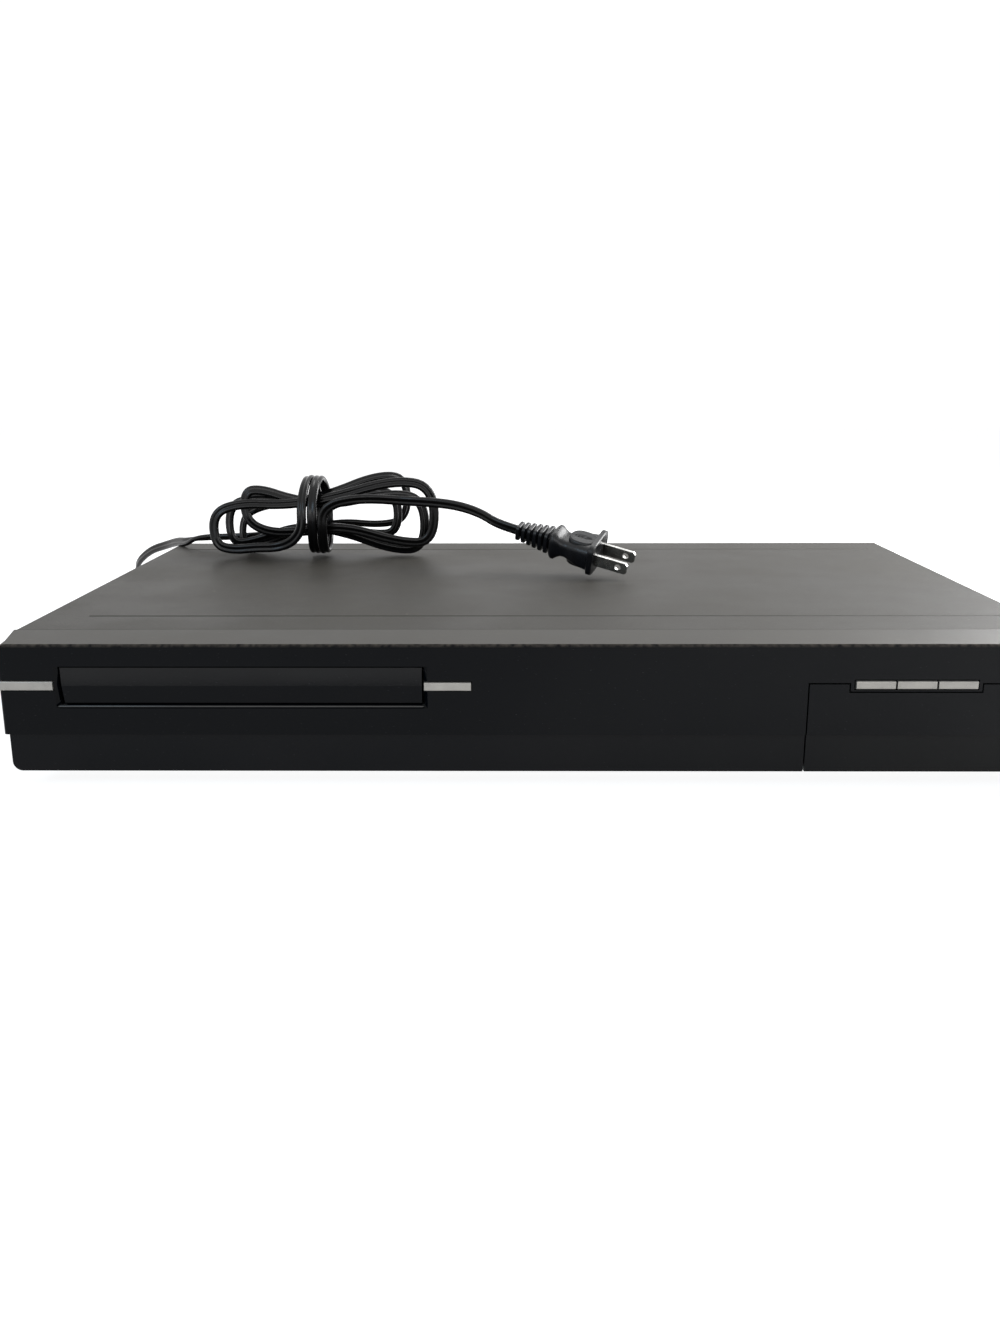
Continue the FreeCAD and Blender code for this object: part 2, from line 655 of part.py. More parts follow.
def front_bezel():
    upper = box((-HALF_FRONT, HALF_FRONT), (WALL_FRONT, STRIP_BACK), (SKIRT_TOP, CASE_HEIGHT))
    upper = upper.makeFillet(
        WALL_FRONT - FRONT_Y - 0.2, edges_along(upper, 2, lambda p: p.y < WALL_FRONT + 1)
    )
    skirt = box((-SKIRT_X, SKIRT_X), (FRONT_Y + SKIRT_BACK, STRIP_BACK), (PANEL_BOTTOM, SKIRT_TOP))
    skirt = skirt.makeFillet(SKIRT_CORNER, edges_along(skirt, 1, lambda p: p.z < SKIRT_TOP - 1))
    shell = join(upper, skirt)
    above = [
        (-CASE_WIDTH, WALL_FRONT - 1, strip_line(WALL_FRONT - 1, STRIP_THICK)),
        (-CASE_WIDTH, STRIP_BACK + 1, strip_line(STRIP_BACK + 1, STRIP_THICK)),
        (-CASE_WIDTH, STRIP_BACK + 1, CASE_HEIGHT + 5),
        (-CASE_WIDTH, WALL_FRONT - 1, CASE_HEIGHT + 5),
    ]
    behind = (WALL_BACK, STRIP_BACK + 1)
    hollow_top = strip_line(WALL_FRONT, STRIP_THICK) - WALL
    shell = shell.cut(
        [
            prism(above, (2 * CASE_WIDTH, 0, 0)),
            box((-INNER_X + 1, INNER_X - 1), behind, (SKIRT_TOP - 1, hollow_top)),
            box((-SKIRT_X + WALL, SKIRT_X - WALL), behind, (PANEL_BOTTOM + 2.0, SKIRT_TOP)),
        ]
        + corner_bevels(FRONT_Y)
    )
    backing = box(
        (FLAP_LEFT - FLAP_GAP - WALL, SKIRT_X - WALL / 2),
        (WALL_FRONT, POCKET_WALL + WALL),
        (PANEL_BOTTOM, FLAP_TOP + FLAP_GAP + WALL),
    )
    edge = box(
        (SKIRT_X - WALL, INNER_X), (WALL_FRONT, POCKET_WALL + WALL), (SKIRT_TOP, FLAP_TOP + FLAP_GAP + WALL)
    )
    bosses = []
    for x, z in FRONT_BOSSES:
        bosses.append(rod((x, WALL_BACK - 0.5, z), ALONG_Y, 2.2, FRONT_BOARD_Y - WALL_BACK + 0.5))
    tab_top = strip_line(STRIP_BACK, STRIP_THICK) - FIT_GAP
    tabs = [
        box(
            span(share * CASE_WIDTH, TAB_WIDTH),
            (STRIP_BACK - WALL, STRIP_BACK + TAB_REACH),
            (tab_top - STRIP_THICK, tab_top),
        )
        for share in (-0.38, -0.13, 0.13, 0.38)
    ]
    bezel = join(shell, backing, edge, *bosses, *tabs)
    return join(bezel.cut(bezel_cuts()), *hinge_ears())


def bezel_cuts():
    through = (FRONT_Y - 1, WALL_BACK + 0.01)
    door_x, door_z = tray_opening()
    cuts = [
        flap_recess(),
        box(door_x, through, door_z),
        box((DISPLAY_LEFT + 2.0, DISPLAY_RIGHT - 2.0), through, (DISPLAY_LOW + 1.5, DISPLAY_HIGH - 1.5)),
        box((BAY_LEFT, BAY_RIGHT), grown((POCKET_WALL, POCKET_WALL + WALL), 1), (BAY_LOW, BAY_HIGH)),
        box(
            grown((ISLAND_LEFT, ISLAND_RIGHT), -WALL / 2),
            (WALL_BACK, POCKET_WALL + WALL + 1),
            (ISLAND_LOW - SWITCH_ROOM, FLAP_TOP + FLAP_GAP + WALL + 1),
        ),
    ]
    for name in BUTTONS:
        x, z = neck_room(name, BUTTON_GAP)
        cuts.append(box(x, through, z))
    leg_x, leg_z = button_room("standby_button")
    cuts.append(
        box((leg_x[0], leg_x[0] + 2.0 + END_LEG + 2 * BUTTON_GAP), (FRONT_Y - 1, FRONT_Y + 7.5), leg_z),
    )
    return cuts


def socket_bay():
    """Open tray behind the flap whose floor holds the front sockets."""
    outer = box(
        grown((BAY_LEFT, BAY_RIGHT), BAY_WALL),
        (POCKET_WALL + WALL, BAY_FLOOR + BAY_WALL),
        grown((BAY_LOW, BAY_HIGH), BAY_WALL),
    )
    cuts = [box((BAY_LEFT, BAY_RIGHT), (POCKET_WALL, BAY_FLOOR), (BAY_LOW, BAY_HIGH))]
    for x in FRONT_RCA_X + (FRONT_SVIDEO_X,):
        cuts.append(rod((x, BAY_FLOOR - 1, FRONT_RCA_Z), ALONG_Y, RCA_RING + SEAT_GAP, BAY_WALL + 2))
    return outer.cut(cuts)


def hinge_ears():
    ears = []
    for x in (EAR_LEFT, EAR_RIGHT):
        barrel = rod((x, FLAP_AXIS_Y, FLAP_AXIS_Z), ALONG_X, HINGE_RADIUS, EAR_THICK)
        web = box((x, x + EAR_THICK), (FLAP_AXIS_Y, POCKET_WALL), span(FLAP_AXIS_Z, 2 * HINGE_RADIUS))
        hole = rod((x - 1, FLAP_AXIS_Y, FLAP_AXIS_Z), ALONG_X, HINGE_PIN + PIN_CLEARANCE, EAR_THICK + 2)
        ears.append(join(barrel, web).cut(hole))
    return ears


def front_window():
    body = box((-WINDOW_X, WINDOW_X), (FRONT_Y, WALL_FRONT), (SKIRT_TOP, PANEL_TOP))
    body = body.makeFillet(WINDOW_THICK - 0.2, edges_along(body, 2, lambda p: p.y < FRONT_Y + 0.1))
    bevel = [
        (-CASE_WIDTH, FRONT_Y, PANEL_TOP - BEVEL),
        (-CASE_WIDTH, FRONT_Y + BEVEL, PANEL_TOP),
        (-CASE_WIDTH, FRONT_Y, PANEL_TOP + 1),
    ]
    behind = [
        (-CASE_WIDTH, FRONT_Y + BEVEL, strip_line(FRONT_Y + BEVEL, STRIP_THICK)),
        (-CASE_WIDTH, WALL_FRONT + 1, strip_line(WALL_FRONT + 1, STRIP_THICK)),
        (-CASE_WIDTH, WALL_FRONT + 1, CASE_HEIGHT),
        (-CASE_WIDTH, FRONT_Y + BEVEL, CASE_HEIGHT),
    ]
    through = (FRONT_Y - 1, WALL_FRONT + 1)
    door_x, door_z = tray_opening()
    wide_x, wide_z = tray_opening(DOOR_GAP + LIP_CHAMFER)
    lip = Part.makeLoft(
        [
            Part.makePolygon([V(x, y, z) for x, z in corners + corners[:1]])
            for y, corners in (
                (
                    FRONT_Y,
                    [
                        (wide_x[0], wide_z[0]),
                        (wide_x[1], wide_z[0]),
                        (wide_x[1], door_z[1]),
                        (wide_x[0], door_z[1]),
                    ],
                ),
                (
                    FRONT_Y + LIP_CHAMFER,
                    [
                        (door_x[0], door_z[0]),
                        (door_x[1], door_z[0]),
                        (door_x[1], door_z[1]),
                        (door_x[0], door_z[1]),
                    ],
                ),
            )
        ],
        True,
        True,
    )
    cuts = [
        prism(bevel, (2 * CASE_WIDTH, 0, 0)),
        prism(behind, (2 * CASE_WIDTH, 0, 0)),
        box(door_x, through, door_z),
        lip,
        box((FLAP_LEFT - FLAP_GAP, HALF_FRONT + 1), through, (0, FLAP_TOP + FLAP_GAP)).cut(island(through)),
    ]
    for name in ("standby_button", "open_close_button"):
        x, z = button_room(name)
        cuts.append(box(x, through, z))
    row_x = grown((BUTTONS["play_button"][0], BUTTONS["record_button"][1]), 2 * BUTTON_GAP)
    row_z = grown(BUTTONS["play_button"][2:], 1.5 * BUTTON_GAP)
    cuts.append(box(row_x, through, row_z))
    return body.cut(cuts + corner_bevels(FRONT_Y))


def tray_door():
    left, right = DOOR_LEFT, DOOR_RIGHT
    back = TRAY_FRONT
    outline = [
        (left, FRONT_Y + DOOR_TUCK, DOOR_LOW),
        (left, FRONT_Y, DOOR_FACET),
        (left, FRONT_Y + DOOR_LEAN, DOOR_HIGH),
        (left, back, DOOR_HIGH),
        (left, back, DOOR_LOW),
    ]
    door = prism(outline, (right - left, 0, 0))
    lean = [
        (left, FRONT_Y - 1, DOOR_LOW), (left + 1.4, FRONT_Y - 1, DOOR_LOW), (left, FRONT_Y - 1, DOOR_HIGH)
    ]
    slant = prism(lean, (0, DOOR_THICK + 2, 0))
    rooms = []
    cells = 6
    inner = (left + 2 * DOOR_WALL, right - 2 * DOOR_WALL)
    cell = (inner[1] - inner[0]) / cells
    for i in range(cells):
        x = (inner[0] + i * cell + DOOR_WALL / 2, inner[0] + (i + 1) * cell - DOOR_WALL / 2)
        rooms.append(
            box(x, (FRONT_Y + DOOR_LEAN + DOOR_WALL, back + 1), (TRAY_TOP + 1.0, DOOR_HIGH - DOOR_WALL)),
        )
    return door.cut([slant] + rooms)


def rack_outline():
    """Rack rib seen from above: straight-flanked teeth that face the pinion."""
    pitch = math.pi * MODULE
    slope = math.tan(math.radians(20))
    first = round((TRAY_FRONT + 12.0 - PINION_Y) / pitch)
    last = round((TRAY_BACK - 4.0 - PINION_Y) / pitch)
    root, tip = RACK_LINE - 1.25 * MODULE, RACK_LINE + 0.9 * MODULE
    half_pitch_line = pitch / 4 - BACKLASH / 2
    at_root = half_pitch_line + 1.25 * MODULE * slope
    at_tip = half_pitch_line - 0.9 * MODULE * slope
    back = root - RACK_BACK
    points = [(back, PINION_Y + (first - 0.5) * pitch, TRAY_LOW)]
    for k in range(first, last + 1):
        y = PINION_Y + k * pitch
        for x, dy in ((root, -at_root), (tip, -at_tip), (tip, at_tip), (root, at_root)):
            points.append((x, y + dy, TRAY_LOW))
    points.append((back, PINION_Y + (last + 0.5) * pitch, TRAY_LOW))
    return points


def disc_tray():
    plate = box(span(LOADER_X, 2 * TRAY_HALF), (TRAY_FRONT, TRAY_BACK), (TRAY_LOW, TRAY_TOP))
    centre = (LOADER_X, DISC_Y)
    big = rod((*centre, TRAY_TOP - DISC_DEPTH), ALONG_Z, DISC_RADIUS, TRAY_THICK)
    small = rod((*centre, TRAY_TOP - SMALL_DISC_DEPTH), ALONG_Z, SMALL_DISC_RADIUS, TRAY_THICK)
    slot = join(
        rod((*centre, TRAY_LOW - 1), ALONG_Z, SLOT_HALF, TRAY_THICK + 2),
        box(span(LOADER_X, 2 * SLOT_HALF), (DISC_Y, TRAY_BACK + 1), (TRAY_LOW - 1, TRAY_TOP + 1)),
    )
    finger = rod((LOADER_X, TRAY_FRONT + 2.0, TRAY_TOP - DISC_DEPTH), ALONG_Z, 16.0, TRAY_THICK)
    tongue = box(span(LOADER_X, 2 * TRAY_HALF), (TRAY_FRONT, TRAY_FRONT + 2.0), (TRAY_LOW, TRAY_TOP))
    rack = prism(rack_outline(), (0, 0, -RACK_DEPTH))
    tray = plate.cut([big, small, slot, finger.cut(tongue)])
    return join(tray, rack)


def involute_points(teeth, radius):
    """Half the angle that a tooth takes up at a radius."""
    pitch_radius = MODULE * teeth / 2
    base = pitch_radius * math.cos(math.radians(20))
    thick = math.pi / (2 * teeth) - BACKLASH / (2 * pitch_radius)
    spread = math.tan(math.radians(20)) - math.radians(20)
    angle = math.acos(min(1.0, base / max(radius, base)))
    return thick + spread - (math.tan(angle) - angle)


def gear(teeth, place, low, thick, tooth_at):
    """Spur gear whose tooth stands at the angle tooth_at."""
    pitch_radius = MODULE * teeth / 2
    root, tip = pitch_radius - 1.25 * MODULE, pitch_radius + 0.9 * MODULE
    points = []
    for k in range(teeth):
        middle = tooth_at + 2 * math.pi * k / teeth
        flank = [(root, involute_points(teeth, root))]
        flank.append((pitch_radius, involute_points(teeth, pitch_radius)))
        flank.append((tip, involute_points(teeth, tip)))
        for radius, half in flank + [(r, -h) for r, h in reversed(flank)]:
            angle = middle - half
            points.append((place[0] + radius * math.cos(angle), place[1] + radius * math.sin(angle), low))
    return prism(points, (0, 0, thick))


def drive_gear():
    place = (PINION_X, PINION_Y)
    wheel = gear(WHEEL_TEETH, place, WHEEL_LOW, WHEEL_THICK, 0.0)
    pinion_low = TRAY_LOW - RACK_DEPTH
    half_step = math.pi / PINION_TEETH
    pinion = gear(PINION_TEETH, place, pinion_low, RACK_DEPTH - 2 * FIT_GAP, math.pi + half_step)
    hub = rod((*place, LOADER_FLOOR + FIT_GAP), ALONG_Z, 2 * AXLE_RADIUS, pinion_low - LOADER_FLOOR)
    bore = rod((*place, LOADER_LOW), ALONG_Z, AXLE_RADIUS + PIN_CLEARANCE, TRAY_LOW)
    return join(wheel, pinion, hub).cut(bore)


def pulley(place, radius, low):
    """Grooved belt pulley made from two cones nose to nose and a rim each side."""
    half = PULLEY_THICK / 2
    disc = rod((*place, low), ALONG_Z, radius + 1.2, PULLEY_THICK)
    groove = rod((*place, low + half - BELT_SECTION / 2 - 0.2), ALONG_Z, radius + 2, BELT_SECTION + 0.4)
    return disc.cut(groove.cut(rod((*place, low), ALONG_Z, radius - BELT_SECTION / 2, PULLEY_THICK)))


def pulley_gear():
    place = (SMALL_X, PINION_Y)
    half_step = math.pi / SMALL_TEETH
    small = gear(SMALL_TEETH, place, WHEEL_LOW, WHEEL_THICK, math.pi + half_step)
    hub = rod((*place, LOADER_FLOOR + FIT_GAP), ALONG_Z, 2 * AXLE_RADIUS, WHEEL_LOW - LOADER_FLOOR)
    bore = rod((*place, LOADER_LOW), ALONG_Z, AXLE_RADIUS + PIN_CLEARANCE, TRAY_LOW)
    return join(pulley(place, PULLEY_RADIUS, PULLEY_LOW), small, hub).cut(bore)


MOTOR_SHAFT = 1.0


def motor_pulley():
    place = (MOTOR_X, PINION_Y)
    bore = rod((*place, PULLEY_LOW - 1), ALONG_Z, MOTOR_SHAFT + PIN_CLEARANCE, PULLEY_THICK + 2)
    return pulley(place, MOTOR_PULLEY_RADIUS, PULLEY_LOW).cut(bore)


def loading_motor():
    top = PULLEY_LOW - FIT_GAP
    body = rod(
        (MOTOR_X, PINION_Y, top - LOADING_MOTOR_LENGTH), ALONG_Z, LOADING_MOTOR_RADIUS, LOADING_MOTOR_LENGTH
    )
    shaft = rod((MOTOR_X, PINION_Y, top), ALONG_Z, MOTOR_SHAFT, PULLEY_THICK + 1.0)
    collar = rod((MOTOR_X, PINION_Y, LOADER_FLOOR), ALONG_Z, LOADING_MOTOR_RADIUS + 2.5, 1.2)
    return join(body, shaft, collar)


def belt_loop(low, thick, inset):
    """Outline of a belt round both pulleys, drawn in by inset, as a solid of the given thickness."""
    big, small = PULLEY_RADIUS + BELT_SECTION / 2 - inset, MOTOR_PULLEY_RADIUS + BELT_SECTION / 2 - inset
    lean = math.asin((big - small) / PULLEY_SPACING)
    up = (math.sin(lean), math.cos(lean))
    points = []
    for x, radius in ((SMALL_X, big), (MOTOR_X, small)):
        points.append(
            (
                V(x + radius * up[0], PINION_Y + radius * up[1], low),
                V(x + radius * up[0], PINION_Y - radius * up[1], low),
            ),
        )
    (b_top, b_low), (s_top, s_low) = points
    edges = [
        Part.LineSegment(b_top, s_top).toShape(),
        Part.Arc(s_top, V(MOTOR_X + small, PINION_Y, low), s_low).toShape(),
        Part.LineSegment(s_low, b_low).toShape(),
        Part.Arc(b_low, V(SMALL_X - big, PINION_Y, low), b_top).toShape(),
    ]
    return Part.Face(Part.Wire(edges)).extrude(V(0, 0, thick))


def loading_belt():
    low = PULLEY_LOW + PULLEY_THICK / 2 - BELT_SECTION / 2
    outside = belt_loop(low, BELT_SECTION, 0.0)
    inside = belt_loop(low - 1, BELT_SECTION + 2, BELT_SECTION - SEAT_GAP)
    return outside.cut(inside)


def loader_chassis():
    floor = box(span(LOADER_X, 2 * LOADER_HALF), (LOADER_FRONT, LOADER_BACK), (LOADER_LOW, LOADER_FLOOR))
    pieces = []
    for side in (-1, 1):
        wall_x = sorted((LOADER_X + side * LOADER_HALF, LOADER_X + side * (LOADER_HALF - LOADER_WALL)))
        ledge_x = sorted((LOADER_X + side * LOADER_HALF, LOADER_X + side * LEDGE_INNER))
        pieces.append(box(wall_x, (LOADER_FRONT, LOADER_BACK), (LOADER_FLOOR, LOADER_TOP)))
        top = TRAY_LOW - FIT_GAP
        pieces.append(box(ledge_x, (LOADER_FRONT, LOADER_BACK), (top - LEDGE_THICK, top)))
        for y in (LOADER_FRONT + 4.0, DISC_Y, LOADER_BACK - 24.0):
            pieces.append(box(ledge_x, span(y + 4.0, 10.0), (TRAY_TOP + FIT_GAP, TRAY_TOP + FIT_GAP + 1.6)))
        ear_x = sorted((LOADER_X + side * (TRAVERSE_HALF + FIT_GAP), LOADER_X + side * (TRAVERSE_HALF + 4.0)))
        ear = box(ear_x, span(TRAVERSE_AXIS_Y, 9.0), (LOADER_FLOOR, TRAVERSE_AXIS_Z + 4.5))
        hole = rod(
            (ear_x[0] - 1, TRAVERSE_AXIS_Y, TRAVERSE_AXIS_Z), ALONG_X, TRAVERSE_PIN + PIN_CLEARANCE, 6.0
        )
        pieces.append(ear.cut(hole))
    inside = span(LOADER_X, 2 * LOADER_HALF)
    pieces.append(
        box(
            inside, (LOADER_FRONT, LOADER_FRONT + LOADER_WALL), (LOADER_FLOOR, TRAY_LOW - RACK_DEPTH - 1.0)
        ),
    )
    pieces.append(box(inside, (LOADER_BACK - LOADER_WALL, LOADER_BACK), (LOADER_FLOOR, TRAY_LOW - 2.0)))
    for y in (CAM_Y - FIT_GAP - 1.2, CAM_Y + CAM_THICK + FIT_GAP):
        rib = (y, y + 1.2 if y < CAM_Y else y + 0.6)
        pieces.append(
            box(span(LOADER_X, 2 * (LOADER_HALF - LOADER_WALL)), rib, (LOADER_FLOOR, LOADER_FLOOR + 2.0)),
        )
    for x, top in ((PINION_X, TRAY_LOW - 3 * FIT_GAP), (SMALL_X, WHEEL_LOW + WHEEL_THICK + 1.0)):
        pieces.append(rod((x, PINION_Y, LOADER_FLOOR), ALONG_Z, AXLE_RADIUS, top - LOADER_FLOOR))
    chassis = join(floor, *pieces)
    window = box(
        span(LOADER_X, 56.0), (DISC_Y - 18.0, LOADER_BACK - 28.0), (LOADER_LOW - 1, LOADER_FLOOR + 1)
    )
    motor_hole = rod(
        (MOTOR_X, PINION_Y, LOADER_LOW - 1), ALONG_Z, LOADING_MOTOR_RADIUS + SEAT_GAP, LOADER_PLATE + 1
    )
    return chassis.cut([window, motor_hole])


def cam_pin_height(travel):
    """Height of the traverse's front pins once the cam slider has moved by travel."""
    reach = TRAVERSE_AXIS_Y - (CAM_Y + CAM_THICK / 2)
    angle = math.radians(TRAVERSE_TILT) * travel / CAM_TRAVEL
    return TRAVERSE_AXIS_Z - reach * math.sin(angle)


def cam_slider():
    low = LOADER_FLOOR + FIT_GAP
    pins = (LOADER_X - CAM_PIN_OFFSET, LOADER_X + CAM_PIN_OFFSET)
    plate = box((pins[0] - CAM_TRAVEL - 5.0, pins[1] + 5.0), (CAM_Y, CAM_Y + CAM_THICK), (low, CAM_TOP))
    cuts = []
    half = CAM_PIN + CAM_CLEARANCE
    for x in pins:
        ends = [(x, cam_pin_height(0.0)), (x - CAM_TRAVEL, cam_pin_height(CAM_TRAVEL))]
        for end_x, end_z in ends:
            cuts.append(rod((end_x, CAM_Y - 1, end_z), ALONG_Y, half, CAM_THICK + 2))
        run = V(ends[1][0] - ends[0][0], 0, ends[1][1] - ends[0][1])
        side = V(-run.z, 0, run.x).normalize() * half
        corners = [V(ends[0][0], CAM_Y - 1, ends[0][1]) + side, V(ends[1][0], CAM_Y - 1, ends[1][1]) + side]
        corners += [corners[1] - side * 2, corners[0] - side * 2]
        cuts.append(prism([tuple(c) for c in corners], (0, CAM_THICK + 2, 0)))
    return plate.cut(cuts)


def traverse_frame():
    top = TRAVERSE_LOW + TRAVERSE_THICK
    back = TRAVERSE_AXIS_Y
    frame = box(span(LOADER_X, 2 * TRAVERSE_HALF), (TRAVERSE_FRONT, back), (TRAVERSE_LOW, top))
    rails = [
        box((x, x + TRAVERSE_RAIL), (TRAVERSE_FRONT, back), (top, ROD_Z + 2.4))
        for x in (LOADER_X - TRAVERSE_HALF, LOADER_X + TRAVERSE_HALF - TRAVERSE_RAIL)
    ]
    blocks = [
        box(span(LOADER_X, 2 * ROD_OFFSET + 8.0), (SLED_WINDOW[1], SLED_WINDOW[1] + 4.0), (top, ROD_Z + 2.2)),
    ]
    for side in (-1, 1):
        blocks.append(
            box(
                span(LOADER_X + side * ROD_OFFSET, 6.0),
                (SLED_WINDOW[0] - 4.0, SLED_WINDOW[0]),
                (top, ROD_Z + 2.2),
            ),
        )
    barrel = rod((LOADER_X - TRAVERSE_HALF, back, TRAVERSE_AXIS_Z), ALONG_X, 3.2, 2 * TRAVERSE_HALF)
    pin = rod(
        (LOADER_X - TRAVERSE_HALF - 5.0, back, TRAVERSE_AXIS_Z),
        ALONG_X,
        TRAVERSE_PIN,
        2 * TRAVERSE_HALF + 10.0,
    )
    cam_pins = [
        rod((LOADER_X + side * CAM_PIN_OFFSET, CAM_Y + FIT_GAP, TRAVERSE_AXIS_Z), ALONG_Y, CAM_PIN, 8.0)
        for side in (-1, 1)
    ]
    frame = join(frame, *rails, *blocks, barrel, pin, *cam_pins)
    window = box(
        span(LOADER_X, 2 * (TRAVERSE_HALF - TRAVERSE_RAIL)), SLED_WINDOW, (TRAVERSE_LOW - 1, top + 1)
    )
    motor_hole = rod(
        (LOADER_X, DISC_Y, TRAVERSE_LOW - 1), ALONG_Z, SPINDLE_BOSS + SEAT_GAP, TRAVERSE_THICK + 2
    )
    cradle_start = (LOADER_X + SCREW_OFFSET, SLED_WINDOW[1] - 1.0, ROD_Z)
    cradle = rod(cradle_start, ALONG_Y, SLED_MOTOR_RADIUS + SEAT_GAP, SLED_MOTOR_LENGTH + 1.0)
    cuts = [window, motor_hole, cradle]
    for side in (-1, 1):
        start = (LOADER_X + side * ROD_OFFSET, SLED_WINDOW[0] - 3.0, ROD_Z)
        cuts.append(rod(start, ALONG_Y, ROD_RADIUS, SLED_WINDOW[1] - SLED_WINDOW[0] + 6.0))
    return frame.cut(cuts)


SPINDLE_BOSS = 5.0
SPINDLE_MOTOR_RADIUS = 12.0
SPINDLE = 1.2
SLED_MOTOR_RADIUS = 4.0
SLED_MOTOR_LENGTH = 12.0


def traverse_motors():
    top = TRAVERSE_LOW + TRAVERSE_THICK
    body = rod((LOADER_X, DISC_Y, top), ALONG_Z, SPINDLE_MOTOR_RADIUS, TURNTABLE_LOW - FIT_GAP - top)
    boss = rod((LOADER_X, DISC_Y, TRAVERSE_LOW), ALONG_Z, SPINDLE_BOSS, TRAVERSE_THICK)
    bore = rod((LOADER_X, DISC_Y, TRAVERSE_LOW + 1.0), ALONG_Z, SPINDLE + PIN_CLEARANCE, 12.0)
    spindle_motor = join(body, boss).cut(bore)
    start = (LOADER_X + SCREW_OFFSET, SLED_WINDOW[1] - 0.5, ROD_Z)
    sled_motor = rod(start, ALONG_Y, SLED_MOTOR_RADIUS, SLED_MOTOR_LENGTH)
    hole = rod((start[0], start[1] - 1, ROD_Z), ALONG_Y, SCREW_RADIUS + PIN_CLEARANCE, 5.0)
    return [spindle_motor, sled_motor.cut(hole)]


def guide_rods():
    length = SLED_WINDOW[1] - SLED_WINDOW[0] + 6.0
    return [
        rod((LOADER_X + side * ROD_OFFSET, SLED_WINDOW[0] - 3.0, ROD_Z), ALONG_Y, ROD_RADIUS, length)
        for side in (-1, 1)
    ]


def turntable():
    disc = rod((LOADER_X, DISC_Y, TURNTABLE_LOW), ALONG_Z, TURNTABLE_RADIUS, TURNTABLE_TOP - TURNTABLE_LOW)
    cone = Part.makeCone(
        CONE_RADIUS, CONE_RADIUS - 1.8, CONE_TOP - TURNTABLE_TOP, V(LOADER_X, DISC_Y, TURNTABLE_TOP)
    )
    shaft = rod((LOADER_X, DISC_Y, TRAVERSE_LOW + 1.5), ALONG_Z, SPINDLE, TURNTABLE_LOW - TRAVERSE_LOW)
    return join(disc, cone, shaft)


def pickup_sled():
    y = (DISC_Y + SLED_FROM_DISC, DISC_Y + SLED_FROM_DISC + SLED_LENGTH)
    body = box(span(LOADER_X, 2 * ROD_OFFSET + 8.0), y, (TRAVERSE_LOW + 1.0, ROD_Z + 2.4))
    arm = box(
        (LOADER_X + ROD_OFFSET, LOADER_X + SCREW_OFFSET - SCREW_RADIUS - SEAT_GAP),
        (y[0] + 8.0, y[0] + 16.0),
        span(ROD_Z, 3.0),
    )
    lens_y = y[0] + 8.0
    tower = box(span(LOADER_X, 16.0), (lens_y - 6.0, lens_y + 7.0), (ROD_Z + 2.4, TRAY_LOW - 0.4))
    lens = rod((LOADER_X, lens_y, TRAY_LOW - 0.4), ALONG_Z, 2.6, 1.0)
    bores = [
        rod(
            (LOADER_X + side * ROD_OFFSET, y[0] - 1, ROD_Z),
            ALONG_Y,
            ROD_RADIUS + PIN_CLEARANCE,
            SLED_LENGTH + 2,
        )
        for side in (-1, 1)
    ]
    return join(body, arm, tower, lens).cut(bores)


def lead_screw():
    start = SLED_WINDOW[0] - 1.0
    return rod((LOADER_X + SCREW_OFFSET, start, ROD_Z), ALONG_Y, SCREW_RADIUS, SLED_WINDOW[1] + 2.0 - start)


def clamp_bridge():
    y = span(DISC_Y, 2 * BRIDGE_HALF)
    plate = box(span(LOADER_X, 2 * LOADER_HALF), y, (LOADER_TOP, LOADER_TOP + SHEET))
    flanges = [
        box(span(LOADER_X, 2 * LOADER_HALF), (edge, edge + SHEET), (LOADER_TOP, LOADER_TOP + BRIDGE_FLANGE))
        for edge in (y[0], y[1] - SHEET)
    ]
    hole = rod((LOADER_X, DISC_Y, LOADER_TOP - 1), ALONG_Z, CLAMP_HOLE, SHEET + 2)
    return join(plate, *flanges).cut(hole)


def clamper():
    centre = (LOADER_X, DISC_Y)
    flange_low = LOADER_TOP + SHEET + SEAT_GAP
    low = rod((*centre, CLAMP_LOW), ALONG_Z, CLAMP_RADIUS, CLAMP_THICK)
    neck = rod((*centre, CLAMP_LOW), ALONG_Z, CLAMP_NECK, flange_low - CLAMP_LOW)
    flange = rod((*centre, flange_low), ALONG_Z, CLAMP_FLANGE, CLAMP_FLANGE_THICK)
    socket = rod((*centre, CLAMP_LOW - 1), ALONG_Z, CONE_RADIUS, 1 + CONE_TOP - CLAMP_LOW + 0.6)
    return join(low, neck, flange).cut(socket)


BOARDS_HIGH = CASE_HEIGHT - 7.2
BOSS_LOW, BOSS_HIGH = CASE_HEIGHT - 32.0, CASE_HEIGHT - 10.0
LEFT_BOARD = (4.0 - HALF_FRONT, 21.0 - HALF_FRONT, CASE_HEIGHT - 36.0, BOARDS_HIGH)
CENTRE_BOARD = (DOOR_RIGHT + 2.4, DISPLAY_RIGHT + 15.0, CASE_HEIGHT - 37.0, BOARDS_HIGH)
RIGHT_BOARD = (KEYS_LEFT - 9.6, KEYS_LEFT + 59.4, CASE_HEIGHT - 21.2, BOARDS_HIGH)
FRONT_BOSSES = [
    (LEFT_BOARD[0] + 2.0, BOSS_LOW),
    (CENTRE_BOARD[0] + 5.0, BOSS_LOW),
    (CENTRE_BOARD[1] - 6.0, BOSS_LOW),
    (CENTRE_BOARD[1] - 6.0, BOSS_HIGH),
    (RIGHT_BOARD[0] + 4.0, BOSS_HIGH),
    (RIGHT_BOARD[1] - 4.0, BOSS_HIGH),
]
JACK_BLOCK = 9.0
JACK_BOARD_Y = BAY_FLOOR + BAY_WALL + JACK_BLOCK


